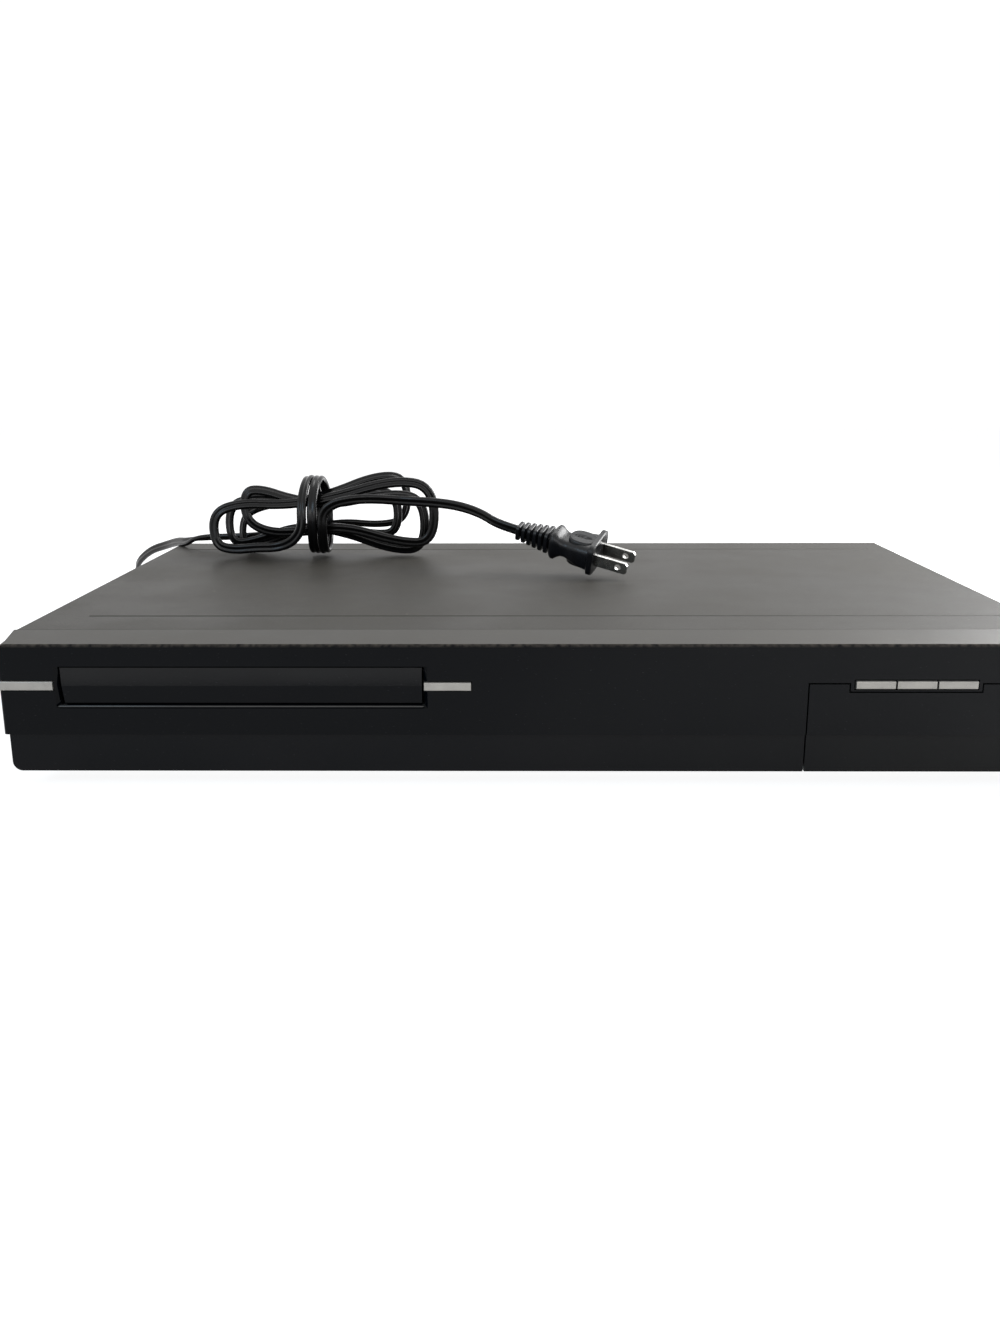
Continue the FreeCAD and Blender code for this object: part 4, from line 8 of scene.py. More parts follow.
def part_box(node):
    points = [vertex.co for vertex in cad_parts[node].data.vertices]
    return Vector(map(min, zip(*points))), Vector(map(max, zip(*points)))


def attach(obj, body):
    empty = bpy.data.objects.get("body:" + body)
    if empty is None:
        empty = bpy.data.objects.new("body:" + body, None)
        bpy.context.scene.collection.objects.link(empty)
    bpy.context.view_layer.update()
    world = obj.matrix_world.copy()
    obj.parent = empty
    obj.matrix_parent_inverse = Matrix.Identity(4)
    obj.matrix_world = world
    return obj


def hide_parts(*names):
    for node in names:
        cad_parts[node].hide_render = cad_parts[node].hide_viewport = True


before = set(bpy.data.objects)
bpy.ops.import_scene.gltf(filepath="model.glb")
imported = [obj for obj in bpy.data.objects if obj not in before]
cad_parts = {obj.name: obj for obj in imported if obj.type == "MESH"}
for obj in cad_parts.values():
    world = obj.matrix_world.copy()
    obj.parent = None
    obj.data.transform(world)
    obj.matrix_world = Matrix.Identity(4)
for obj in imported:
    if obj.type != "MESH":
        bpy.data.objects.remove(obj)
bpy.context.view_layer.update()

# The recorder stands on a plain pale floor, lit by four soft boxes and an even studio light.
# The camera stands a little above the front edge, as the photographer's did.
MM = 0.001


def paint(code):
    """A colour written as sRGB hex, as linear values."""
    channels = [int(code[k:k + 2], 16) / 255 for k in (1, 3, 5)]
    linear = [c / 12.92 if c <= 0.04045 else ((c + 0.055) / 1.055) ** 2.4 for c in channels]
    return (*linear, 1.0)


def add_node(tree, kind, settings=None, **inputs):
    """One node; inputs are values or the sockets that feed it, with _ for a space in a name."""
    node = tree.nodes.new("ShaderNode" + kind)
    for name, value in (settings or {}).items():
        setattr(node, name, value)
    for name, value in inputs.items():
        key = int(name[1:]) if name[0] == "i" and name[1:].isdigit() else name.replace("_", " ")
        if isinstance(value, bpy.types.NodeSocket):
            tree.links.new(value, node.inputs[key])
        else:
            node.inputs[key].default_value = value
    return node


def lit_white(tree, shader, shows):
    """The shader, with an added plain white glow that only the camera and reflections see."""
    path = add_node(tree, "LightPath")
    seen = add_node(tree, "Math", {"operation": "MAXIMUM"}, i0=path.outputs["Is Camera Ray"],
                    i1=path.outputs["Is Glossy Ray"])
    seen = add_node(tree, "Math", {"operation": "MAXIMUM"}, i0=seen.outputs[0],
                    i1=path.outputs["Is Transmission Ray"])
    glow = add_node(tree, "Math", {"operation": "MULTIPLY"}, i0=seen.outputs[0], i1=shows)
    white = add_node(tree, "Emission", Color=(1, 1, 1, 1), Strength=glow.outputs[0])
    both = add_node(tree, "AddShader", i0=shader, i1=white.outputs[0])
    return both.outputs[0]


FLOOR_HALF = 3.0
floor_mesh = bpy.data.meshes.new("floor")
shape = bmesh.new()
bmesh.ops.create_grid(shape, x_segments=1, y_segments=1, size=FLOOR_HALF)
shape.to_mesh(floor_mesh)
floor = bpy.data.objects.new("floor", floor_mesh)
bpy.context.scene.collection.objects.link(floor)
floor_paint = bpy.data.materials.new("pale_floor")
floor_paint.use_nodes = True
tree = floor_paint.node_tree
tree.nodes.clear()
matt = add_node(tree, "BsdfDiffuse", Color=paint("#C9C9C9"))
add_node(tree, "OutputMaterial", Surface=lit_white(tree, matt.outputs[0], 0.87))
floor_mesh.materials.append(floor_paint)

bpy.context.scene.view_settings.view_transform = "Standard"
world = bpy.data.worlds.new("studio")
bpy.context.scene.world = world
world.use_nodes = True
tree = world.node_tree
tree.nodes.clear()
even = add_node(tree, "Background", Color=(1, 1, 1, 1), Strength=0.22)
add_node(tree, "OutputWorld", Surface=lit_white(tree, even.outputs[0], 0.80))


def soft_box(name, place, aim, size, power, tint=(1, 1, 1)):
    """A rectangular studio lamp that faces a point."""
    light = bpy.data.lights.new(name, "AREA")
    light.shape = "RECTANGLE"
    light.size, light.size_y = size
    light.energy = power
    light.color = tint
    lamp = bpy.data.objects.new(name, light)
    lamp.location = place
    lamp.rotation_euler = (Vector(aim) - Vector(place)).to_track_quat("-Z", "Y").to_euler()
    bpy.context.scene.collection.objects.link(lamp)


soft_box("lamp_right", (0.72, 0.35, 0.55), (0.15, 0.0, 0.05), (0.6, 0.5), 13.0)
soft_box("lamp_over", (0.25, 0.5, 1.2), (0.0, 0.0, 0.05), (0.7, 0.4), 3.5)
soft_box("lamp_left", (-1.0, -0.9, 0.7), (-0.1, -0.1, 0.05), (0.6, 0.5), 4.0, tint=(0.55, 0.78, 1.0))
soft_box("lamp_front", (0.2, -1.7, 0.48), (0.1, -0.1, 0.04), (2.2, 0.4), 7.0)

CAMERA_PLACE = (-8.3 * MM, -587.3 * MM, 165.2 * MM)
CAMERA_TURN, CAMERA_DIP, CAMERA_ROLL = 0.715, 14.258, -0.170
LENS_PIXELS, IMAGE_HEIGHT, SENSOR = 1157.3, 1333, 36.0
camera_data = bpy.data.cameras.new("camera")
camera_data.sensor_width = SENSOR
camera_data.lens = LENS_PIXELS * SENSOR / IMAGE_HEIGHT
camera_data.clip_start = 0.02
camera = bpy.data.objects.new("camera", camera_data)
camera.matrix_world = (
    Matrix.Translation(CAMERA_PLACE)
    @ Matrix.Rotation(math.radians(CAMERA_TURN), 4, "Z")
    @ Matrix.Rotation(math.radians(90 - CAMERA_DIP), 4, "X")
    @ Matrix.Rotation(math.radians(CAMERA_ROLL), 4, "Z")
)
bpy.context.scene.collection.objects.link(camera)
bpy.context.scene.camera = camera

# The mains cord: flat twin PVC cord, two cores side by side with a groove between them.
# It leaves the back, comes round the corner, lies in a tied hank on the cover and ends in its plug.
CORD_WIDTH, CORD_THICK, GROOVE = 5.6 * MM, 2.9 * MM, 0.45 * MM
CORD_EXIT = (-196.0, 139.2, 24.0)
CORD_LEAD = [
    CORD_EXIT, (-196.0, 155.2, 24.0), (-202.0, 173.0, 22.0), (-220.0, 188.0, 21.5),
    (-243.0, 189.0, 25.0), (-258.0, 176.0, 32.5), (-256.0, 161.0, 44.0), (-242.5, 150.0, 55.0),
    (-228.0, 140.0, 60.0), (-217.0, 127.0, 64.0), (-208.5, 115.5, 65.0),
]
HANK_START, HANK_WAY = (-182.0, 103.5, 70.0), (1.0, -0.26, 0.05)
HANK_LOOPS = [
    (13.0, (54.0, 7.3), (-43.0, -10.7)),
    (4.0, (49.0, -0.7), (-49.0, -4.7)),
    (-9.0, (65.0, -5.7), (-38.0, 6.3)),
    (8.0, (71.0, 0.3), (-55.0, -8.7)),
]
HANK_Z, HANK_BACK_Y, LAYER_STEP = 85.7, 96.0, 6.4
WAIST_X, WAIST_HALF_HEIGHT, WAIST_HALF_LENGTH = -125.0, 8.0, 4.0
WRAPS, WRAP_STEP, WRAP_HALF_DEPTH, WRAP_HALF_HEIGHT, WRAP_Y = 2, 5.8, 21.0, 20.9, 83.8
BEND_SHARE, BEND_BULGE = 0.65, 0.12
LEAD_TWIST, HANK_TWIST = math.radians(130.0), math.radians(40.0)
PLUG_FACE, PLUG_ALONG, PLUG_ACROSS = (36.0, 10.3, 73.5), (0.914, -0.335, -0.228), (0.39, 0.85, 0.33)
PLUG_LENGTH, RELIEF_LENGTH = 26.0, 20.0


def unit(vector):
    return Vector(vector).normalized()


def hank_stations():
    """Places along the hank with the cord's way at each: in, round the loops, the wraps, out."""
    y, quarter = HANK_BACK_Y, LAYER_STEP / 4
    stations = [(HANK_START, HANK_WAY)]
    for lean, right, left in HANK_LOOPS:
        rise = (math.cos(math.radians(lean)), 0.0, math.sin(math.radians(lean)))
        fall = (-rise[0], 0.0, -rise[2])
        low = (WAIST_X + WAIST_HALF_LENGTH, y, HANK_Z - WAIST_HALF_HEIGHT)
        high = (WAIST_X - WAIST_HALF_LENGTH, y - 2 * quarter, HANK_Z + WAIST_HALF_HEIGHT)
        stations.append((low, rise))
        stations.append(((WAIST_X + right[0], y - quarter, HANK_Z + right[1]), (0, 0, 1)))
        stations.append((high, fall))
        stations.append(((WAIST_X + left[0], y - 3 * quarter, HANK_Z + left[1]), (0, 0, -1)))
        y -= LAYER_STEP
    stations.append(((WAIST_X - 24.0, y - 1.0, 68.5), (1, 0, 0)))
    x = WAIST_X - WRAP_STEP / 2
    back, front = WRAP_Y + WRAP_HALF_DEPTH, WRAP_Y - WRAP_HALF_DEPTH
    top, bottom = HANK_Z + WRAP_HALF_HEIGHT, HANK_Z - WRAP_HALF_HEIGHT
    for turn in range(WRAPS):
        for place, way in (((front, HANK_Z), (0, 0, 1)), ((WRAP_Y, top), (0, 1, 0)),
                           ((back, HANK_Z), (0, 0, -1)), ((WRAP_Y, bottom), (0, -1, 0))):
            stations.append(((x, *place), way))
            x += WRAP_STEP / 4
    stations.append(((x, front, HANK_Z - 2.0), (0, 0, 1)))
    stations.append(((x + 22.0, front - 1.0, HANK_Z + 11.0), (1, 0.05, 0.05)))
    stations.append(((-66.0, front - 0.5, HANK_Z + 9.8), (0.894, -0.45, 0.0)))
    return [(Vector(place), unit(way)) for place, way in stations]


def hank_points(stations):
    """Three control points from each station to the next: twelve in a turn."""
    points = []
    for (start, leaving), (end, arriving) in zip(stations, stations[1:]):
        chord = end - start
        along = chord.dot(leaving + arriving)
        spread = 2 * (1 - leaving.dot(arriving))
        if spread < 1e-6:
            reach = chord.dot(chord) / (2 * along)
        else:
            reach = (math.sqrt(along ** 2 + spread * chord.dot(chord)) - along) / spread
        middle = (start + leaving * reach + end - arriving * reach) / 2
        points.append(start + leaving * reach * BEND_SHARE)
        points.append(middle + (middle - (start + end) / 2) * BEND_BULGE)
        points.append(end - arriving * reach * BEND_SHARE)
    return points


stations = hank_stations()
plug_way = unit(PLUG_ALONG)
cord_end = Vector(PLUG_FACE) - plug_way * (PLUG_LENGTH + RELIEF_LENGTH)
first, last = stations[0], stations[-1]
route = [Vector(point) for point in CORD_LEAD]
route += [first[0] - first[1] * 17.0]
route += hank_points(stations)
route += [last[0] + last[1] * 18.0, Vector((-37.0, 46.5, 94.3)), Vector((-25.5, 37.5, 91.3))]
route += [cord_end - plug_way * 12.0, cord_end]


def line_object(name, points, closed=False):
    """A curve object of one spline: smooth and open, or of short sides and closed."""
    curve = bpy.data.curves.new(name, "CURVE")
    curve.dimensions = "3D"
    spline = curve.splines.new("POLY" if closed else "NURBS")
    spline.points.add(len(points) - 1)
    for knot, point in zip(spline.points, points):
        knot.co = (*(Vector(point) * MM), 1.0)
    spline.use_cyclic_u = closed
    if not closed:
        spline.order_u = 3
        spline.use_endpoint_u = True
        spline.resolution_u = 8
    line = bpy.data.objects.new(name, curve)
    bpy.context.scene.collection.objects.link(line)
    return line


def as_mesh(line, name):
    """The mesh that a curve object shows."""
    bpy.context.view_layer.update()
    shown = line.evaluated_get(bpy.context.evaluated_depsgraph_get())
    mesh = bpy.data.meshes.new_from_object(shown)
    mesh.name = name
    return mesh


def twin_section():
    """Outline of the flat cord across its length: two round cores and the groove between them."""
    radius = CORD_THICK / 2
    middle = CORD_WIDTH / 2 - radius
    groove_half_width = 0.35 * MM
    reach = math.acos((groove_half_width - middle) / radius)
    points = []
    for side in (1, -1):
        for k in range(11):
            angle = reach * (2 * k / 10 - 1)
            across, rise = middle + radius * math.cos(angle), radius * math.sin(angle)
            points.append((side * across, side * rise, 0))
        points.append((0, side * (radius - GROOVE), 0))
    return [Vector(point) / MM for point in points]


cord_line = line_object("cord_line", route)
for number, knot in enumerate(cord_line.data.splines[0].points):
    knot.tilt = LEAD_TWIST if number < len(CORD_LEAD) else HANK_TWIST
cord_path = [tuple(vertex.co) for vertex in as_mesh(cord_line, "cord_path").vertices]
section = line_object("cord_section", twin_section(), closed=True)
cord_line.data.bevel_mode = "OBJECT"
cord_line.data.bevel_object = section
cord_line.data.use_fill_caps = True
cord_mesh = as_mesh(cord_line, "mains_cord")
for helper in (cord_line, section):
    bpy.data.objects.remove(helper)


def new_piece(name, mesh, body, smooth_below=40.0):
    """A finished piece at the origin, shaded smooth up to an angle, that rides on a body."""
    shape = bmesh.new()
    shape.from_mesh(mesh)
    bmesh.ops.remove_doubles(shape, verts=shape.verts, dist=0.00001)
    bmesh.ops.recalc_face_normals(shape, faces=shape.faces)
    for face in shape.faces:
        face.smooth = True
    for edge in shape.edges:
        edge.smooth = edge.calc_face_angle(0.0) < math.radians(smooth_below)
    shape.to_mesh(mesh)
    shape.free()
    piece = bpy.data.objects.new(name, mesh)
    bpy.context.scene.collection.objects.link(piece)
    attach(piece, body)
    return piece


def place_mm(tree, stretch=(1, 1, 1)):
    """Object coordinates in millimetres, drawn out along an axis where stretch is above 1."""
    where = add_node(tree, "TexCoord").outputs["Object"]
    return add_node(tree, "Mapping", Vector=where, Scale=[1 / (s * MM) for s in stretch]).outputs[0]


def blotches(tree, size, low=0.35, high=0.65, detail=3.0, stretch=(1, 1, 1)):
    """Soft blotches about size mm across, as 0 to 1."""
    noise = add_node(tree, "TexNoise", Vector=place_mm(tree, stretch), Scale=1 / size, Detail=detail)
    return add_node(tree, "MapRange", i0=noise.outputs[0], i1=low, i2=high).outputs[0]


def finish(name, dark, light, grain, rough, depth=0.02, blotch=12.0, stretch=(1, 1, 1), metallic=0.0,
           layers=(), **fixed):
    """A material with a grain in mm, two colours, roughness low and high, and a bump depth in mm."""
    material = bpy.data.materials.new(name)
    material.use_nodes = True
    tree = material.node_tree
    tree.nodes.clear()
    fine = blotches(tree, grain, stretch=stretch)
    broad = add_node(tree, "Math", {"operation": "MULTIPLY"}, i0=blotches(tree, blotch, detail=4.0), i1=0.6)
    mottled = add_node(tree, "Math", {"operation": "MULTIPLY_ADD", "use_clamp": True}, i0=fine, i1=0.4,
                       i2=broad.outputs[0]).outputs[0]
    colour = add_node(tree, "Mix", {"data_type": "RGBA"}, i0=mottled, i6=paint(dark),
                      i7=paint(light)).outputs[2]
    roughness = add_node(tree, "MapRange", i0=mottled, i3=rough[0], i4=rough[1]).outputs[0]
    for layer in layers:
        colour, roughness = layer(tree, colour, roughness)
    bump = add_node(tree, "Bump", Height=fine, Distance=depth * MM, Strength=1.0)
    shader = add_node(tree, "BsdfPrincipled", Base_Color=colour, Roughness=roughness,
                      Normal=bump.outputs[0], Metallic=metallic, **fixed)
    add_node(tree, "OutputMaterial", Surface=shader.outputs[0])
    return material


# Soft PVC is nearly black with a low sheen, so that each core shows one thin bright line.
cord_pvc = finish("soft_black_pvc", "#050506", "#0B0B0C", 0.6, (0.18, 0.27), depth=0.010, blotch=9.0,
                  Specular_IOR_Level=0.27)
mains_cord = new_piece("mains_cord", cord_mesh, "case", smooth_below=50.0)
mains_cord.data.materials.append(cord_pvc)
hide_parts("power_cord", "cord_hank")

# The plug: black PVC moulded round the cord's end in one shot, with two folded brass blades in it.
# Its grip has a wing at the back, a waist for the fingers, a raised pad on each face and a flange.
FLANGE_WIDTH, FLANGE_HEIGHT, FLANGE_THICK, FLANGE_EAR = 25.0, 16.0, 3.2, 1.3
SLEEVE_RIBS, SLEEVE_BACK, SLEEVE_FRONT, RIB_DEPTH = 6, 8.8, 12.8, 1.9
PAD_MIDDLE, PAD_RISE, PAD_RECESS = -9.6, 7.5, 1.1
PIP_RADIUS, PIP_PITCH = 0.4, 1.9
plug_up = plug_way.cross(Vector(PLUG_ACROSS)).normalized()
plug_across = plug_up.cross(plug_way)
plug_axes = Matrix((plug_way, plug_across, plug_up)).transposed().to_4x4()
plug_axes.translation = Vector(PLUG_FACE) * MM


def skin(shape, rings, sides=32, turn=None):
    """A closed skin over rings across X: each is its x, width, height, squareness and lift, in mm."""
    loops, made_here = [], []
    for x, width, height, square, lift in rings:
        made = bmesh.ops.create_circle(shape, segments=sides, radius=1.0)
        for vertex in made["verts"]:
            c, s = vertex.co.x, vertex.co.y
            across = math.copysign(abs(c) ** (2 / square), c) * width / 2
            rise = math.copysign(abs(s) ** (2 / square), s) * height / 2 + lift
            vertex.co = Vector((x, across, rise)) * MM
        made_here += made["verts"]
        loops.append(list({edge for vertex in made["verts"] for edge in vertex.link_edges}))
    for one, following in zip(loops, loops[1:]):
        bmesh.ops.bridge_loops(shape, edges=one + following)
    for loop in (loops[0], loops[-1]):
        bmesh.ops.contextual_create(shape, geom=loop)
    if turn is not None:
        bmesh.ops.transform(shape, matrix=turn, verts=made_here)


def mesh_from(shape, name, axes=None):
    """The shape as a mesh, set in its place."""
    if axes is not None:
        bmesh.ops.transform(shape, matrix=axes, verts=shape.verts)
    bmesh.ops.recalc_face_normals(shape, faces=shape.faces)
    mesh = bpy.data.meshes.new(name)
    shape.to_mesh(mesh)
    shape.free()
    return mesh


shape = bmesh.new()
back, plate = -PLUG_LENGTH, -FLANGE_THICK
skin(shape, [
    (back, 11.4, 10.4, 3.0, 0.0), (back + 0.5, 15.4, 13.8, 3.4, 0.0), (back + 1.6, 16.6, 15.6, 3.8, 0.0),
    (back + 3.0, 16.8, 15.4, 3.8, 0.0), (back + 4.6, 15.8, 12.6, 3.6, 0.0),
    (back + 6.4, 14.8, 10.4, 3.4, 0.0), (back + 8.6, 14.6, 9.8, 3.4, 0.0),
    (back + 11.0, 15.8, 10.8, 3.6, 0.0), (back + 14.0, 18.2, 12.4, 3.8, 0.0),
    (back + 17.0, 20.2, 13.4, 4.0, 0.0), (plate - 2.0, 21.0, 13.8, 4.2, 0.0),
    (plate - 0.5, 21.4, 14.0, 4.4, 0.0), (plate, 23.6, 15.6, 4.8, 0.3),
    (plate + 0.5, FLANGE_WIDTH, FLANGE_HEIGHT + FLANGE_EAR, 5.4, FLANGE_EAR / 2),
    (-0.5, FLANGE_WIDTH, FLANGE_HEIGHT + FLANGE_EAR, 5.4, FLANGE_EAR / 2),
    (0.0, FLANGE_WIDTH - 1.0, FLANGE_HEIGHT + FLANGE_EAR - 1.0, 5.2, FLANGE_EAR / 2),
], sides=48)
for side in (1, -1):
    outward = Matrix(((0, side, 0, PAD_MIDDLE * MM), (0, 0, 1, 0), (side, 0, 0, 0), (0, 0, 0, 1)))
    skin(shape, [
        (3.5, 14.6, 13.6, 2.6, 0.0), (PAD_RISE - 0.7, 14.4, 13.2, 2.6, 0.0),
        (PAD_RISE - 0.15, 13.6, 12.2, 2.6, 0.0), (PAD_RISE, 12.6, 11.0, 2.6, 0.0),
        (PAD_RISE, 9.4, 3.4, 3.0, 0.0), (PAD_RISE - 0.3, 9.0, 3.0, 3.0, 0.0),
        (PAD_RISE - PAD_RECESS, 8.8, 2.8, 3.0, 0.0),
    ], sides=32, turn=outward)
for across in (-1.5, -0.5, 0.5, 1.5):
    for rise in (-1, 0, 1):
        pip = bmesh.ops.create_icosphere(shape, subdivisions=1, radius=PIP_RADIUS * MM)
        place = Vector((0, across * PIP_PITCH, rise * PIP_PITCH)) * MM
        bmesh.ops.translate(shape, vec=place, verts=pip["verts"])
plug_grip = new_piece("plug_grip", mesh_from(shape, "plug_grip", plug_axes), "case", smooth_below=42.0)
# The plug's PVC is a shade harder and bluer than the cord's, and its corners catch small bright lights.
plug_pvc = finish("moulded_black_pvc", "#08090C", "#111318", 0.4, (0.26, 0.38), depth=0.02, blotch=5.0,
                  Specular_IOR_Level=0.35)
plug_grip.data.materials.append(plug_pvc)
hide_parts("plug_body")

# The strain relief: the same shot of PVC, a tapered sleeve cut into square ribs so that it bends.
shape = bmesh.new()
pitch = RELIEF_LENGTH / SLEEVE_RIBS
rings = []
for rib in range(SLEEVE_RIBS):
    low = back - RELIEF_LENGTH + rib * pitch
    full = SLEEVE_BACK + (SLEEVE_FRONT - SLEEVE_BACK) * rib / (SLEEVE_RIBS - 1)
    neck, tall = full - 2 * RIB_DEPTH, full * 0.95
    rings += [(low, neck, neck, 3.0, 0.0), (low + 0.1, full - 0.5, tall - 0.5, 4.6, 0.0),
              (low + 0.35, full, tall, 5.0, 0.0), (low + pitch * 0.54, full, tall, 5.0, 0.0),
              (low + pitch * 0.62, full - 0.5, tall - 0.5, 4.6, 0.0),
              (low + pitch * 0.65, neck, neck, 3.0, 0.0)]
rings.append((back + 0.2, SLEEVE_FRONT - 2 * RIB_DEPTH, SLEEVE_FRONT - 2 * RIB_DEPTH, 3.0, 0.0))
skin(shape, rings, sides=32)
sleeve_mesh = mesh_from(shape, "plug_sleeve", plug_axes)
plug_sleeve = new_piece("plug_sleeve", sleeve_mesh, "case", smooth_below=35.0)
plug_sleeve.data.materials.append(plug_pvc)
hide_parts("plug_strain_relief")


# The plug's blades: folded brass strip, nickel plated, with a hole near each end.
# The plating shows faint rolling lines along the blade and light tarnish.
def dress(material, *names):
    """Give CAD nodes a finish."""
    for name in names:
        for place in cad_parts[name].material_slots:
            place.material = material


nickel = finish("nickel_plate", "#A3A3A2", "#C6C5C2", 0.3, (0.16, 0.30), depth=0.004, blotch=4.0,
                stretch=(6, 1, 1), metallic=1.0)
dress(nickel, "plug_blades")


# The top cover: 0.8 mm steel sheet folded over the top and both sides and painted a warm grey.
# Its fine texture is worn a little: pale dust and short scratches.
def laid_over(tree, mask, below, roughness, colour, rough=None):
    """The colour, and its roughness if it has one, over what is below, where the mask is 1."""
    shown = add_node(tree, "Mix", {"data_type": "RGBA"}, i0=mask, i6=below, i7=paint(colour)).outputs[2]
    if rough is None:
        return shown, roughness
    return shown, add_node(tree, "Mix", i0=mask, i2=roughness, i3=rough).outputs[0]


def streaks(length, width, angle, share, colour, rough=0.5):
    """A layer of short straight scratches of one lean, in mm; share is how much noise they take."""
    def layer(tree, below, roughness):
        lean = math.radians(angle)
        drawn = add_node(tree, "Mapping", {"vector_type": "TEXTURE"}, Vector=place_mm(tree),
                         Rotation=(lean, lean, lean), Scale=(length, width, width))
        noise = add_node(tree, "TexNoise", Vector=drawn.outputs[0], Scale=1.0, Detail=0.0)
        mask = add_node(tree, "MapRange", i0=noise.outputs[0], i1=1 - share, i2=1 - share + 0.02)
        return laid_over(tree, mask.outputs[0], below, roughness, colour, rough)
    return layer


def specks(pitch, radius, share, colour):
    """A layer of small spots of dust or chipped paint, one in a share of cells of that pitch."""
    def layer(tree, below, roughness):
        cells = add_node(tree, "TexVoronoi", Vector=place_mm(tree), Scale=1 / pitch)
        spot = add_node(tree, "MapRange", i0=cells.outputs["Distance"], i1=radius / pitch * 0.6,
                        i2=radius / pitch, i3=1.0, i4=0.0)
        pick = add_node(tree, "SeparateColor", Color=cells.outputs["Color"])
        chosen = add_node(tree, "MapRange", i0=pick.outputs[0], i1=1 - share, i2=1 - share + 0.001)
        mask = add_node(tree, "Math", {"operation": "MULTIPLY"}, i0=spot.outputs[0], i1=chosen.outputs[0])
        return laid_over(tree, mask.outputs[0], below, roughness, colour)
    return layer


def along(axis, low, high, colour, grain=3.0, amount=1.0, rough=0.5):
    """A layer that shows from low to high mm along an axis, broken up by a noise of that grain."""
    def layer(tree, below, roughness):
        place = add_node(tree, "SeparateXYZ", Vector=place_mm(tree)).outputs["XYZ".index(axis)]
        rise = add_node(tree, "MapRange", i0=place, i1=low, i2=high)
        broken = add_node(tree, "Math", {"operation": "MULTIPLY"}, i0=rise.outputs[0],
                          i1=blotches(tree, grain, low=0.30, high=0.62))
        mask = add_node(tree, "Math", {"operation": "MULTIPLY"}, i0=broken.outputs[0], i1=amount)
        return laid_over(tree, mask.outputs[0], below, roughness, colour, rough)
    return layer


cover_paint = finish("grey_texture_paint", "#2B2925", "#373530", 0.35, (0.40, 0.56), depth=0.035,
                     blotch=55.0, layers=[
                         streaks(14.0, 0.4, 12.0, 0.19, "#5E5B57"),
                         streaks(9.0, 0.35, -38.0, 0.18, "#5A5753"),
                         specks(11.0, 0.42, 0.10, "#A7A29A"), specks(26.0, 0.8, 0.10, "#5B5853"),
                     ], Specular_IOR_Level=0.22)
dress(cover_paint, "top_cover")

# The top trim: a strip moulded in warm grey styrene that closes the gap behind the front plate.
# Handling has left short scratches along it and pale specks.
trim_plastic = finish("grey_moulded_strip", "#3C3A36", "#494742", 0.25, (0.34, 0.46), depth=0.01,
                      blotch=30.0,
                      layers=[streaks(16.0, 0.35, 3.0, 0.19, "#66635E"), specks(9.0, 0.3, 0.10, "#8A867F")],
                      Specular_IOR_Level=0.24)
dress(trim_plastic, "top_trim")

# The front plate, tray door and flap face: black acrylic, polished, painted behind.
# Its colour lightens from blue-black at the left end to grey at the right, a painted reflection; its top
# edge is chipped and rubbed, and the paler band along it is partly that wear and partly a painted edge
# highlight.
PLATE_TOP, PLATE_EDGE = 60.1, 1.3
plate_layers = [
    # Painted reflection: the plate turns from blue-black to grey toward its right end.
    along("X", -60.0, 240.0, "#262627", grain=160.0, amount=0.9, rough=0.12),
    streaks(12.0, 0.2, 8.0, 0.16, "#343436", rough=0.3),
    specks(12.0, 0.16, 0.05, "#6A6A6C"),
    # Paler band along the top edge: partly wear, partly a painted edge highlight.
    along("Z", PLATE_TOP - PLATE_EDGE, PLATE_TOP - 0.2, "#6A625A", grain=2.6, amount=0.6, rough=0.4),
]
gloss_black = finish("polished_black_plate", "#04070C", "#080A0E", 0.5, (0.04, 0.09), depth=0.0012,
                     blotch=30.0, layers=plate_layers, Specular_IOR_Level=0.08)
dress(gloss_black, "front_window", "tray_door", "flap_face")

# The lip under the tray door: a thin rounded bead along the lower edge of the plate's opening.
# It is polished with the plate and shows as one fine bright line.
LIP_LEFT, LIP_RIGHT, LIP_LEVEL, LIP_RADIUS, PLATE_FACE = -193.0, -44.6, 34.6, 0.42, -138.8
shape = bmesh.new()
skin(shape, [
    (LIP_LEFT, 0.2, 0.2, 2.0, 0.0), (LIP_LEFT + 0.6, 2 * LIP_RADIUS, 2 * LIP_RADIUS, 2.0, 0.0),
    (LIP_RIGHT - 0.6, 2 * LIP_RADIUS, 2 * LIP_RADIUS, 2.0, 0.0), (LIP_RIGHT, 0.2, 0.2, 2.0, 0.0),
], sides=16, turn=Matrix.Translation(Vector((0.0, PLATE_FACE, LIP_LEVEL)) * MM))
tray_lip = new_piece("tray_lip", mesh_from(shape, "tray_lip"), "case", smooth_below=50.0)
lip_gloss = finish("polished_black_lip", "#0A0B0D", "#101113", 0.5, (0.10, 0.18), depth=0.001, blotch=20.0)
tray_lip.data.materials.append(lip_gloss)

# The bezel: one satin black ABS moulding that carries the plate, with the skirt below it.
# The flap, the socket bay behind it and the jacks' bodies are of the same black.
satin_black = finish("satin_black_moulding", "#0B0D10", "#141416", 0.18, (0.32, 0.44), depth=0.012,
                     blotch=40.0, layers=[
                         # Painted reflection: the moulding lightens to grey toward its right end.
                         along("X", -60.0, 220.0, "#222222", grain=120.0, amount=0.9),
                         streaks(9.0, 0.25, 10.0, 0.15, "#303032"), specks(12.0, 0.14, 0.06, "#57575A"),
                     ], Specular_IOR_Level=0.10)
dress(satin_black, "front_bezel", "socket_bay", "flap_door")

# The five keys: styrene bars sprayed with silver lacquer, which slide in slots of the bezel.
# They are smooth and slightly pearly, with hair scratches where fingers press.
silver_paint = finish("silver_lacquer", "#96938E", "#A6A39D", 0.12, (0.26, 0.38), depth=0.004, blotch=6.0,
                      metallic=0.5, layers=[streaks(3.0, 0.12, 20.0, 0.16, "#8E8B87")])
dress(silver_paint, "standby_button", "open_close_button", "play_button", "stop_button", "record_button")

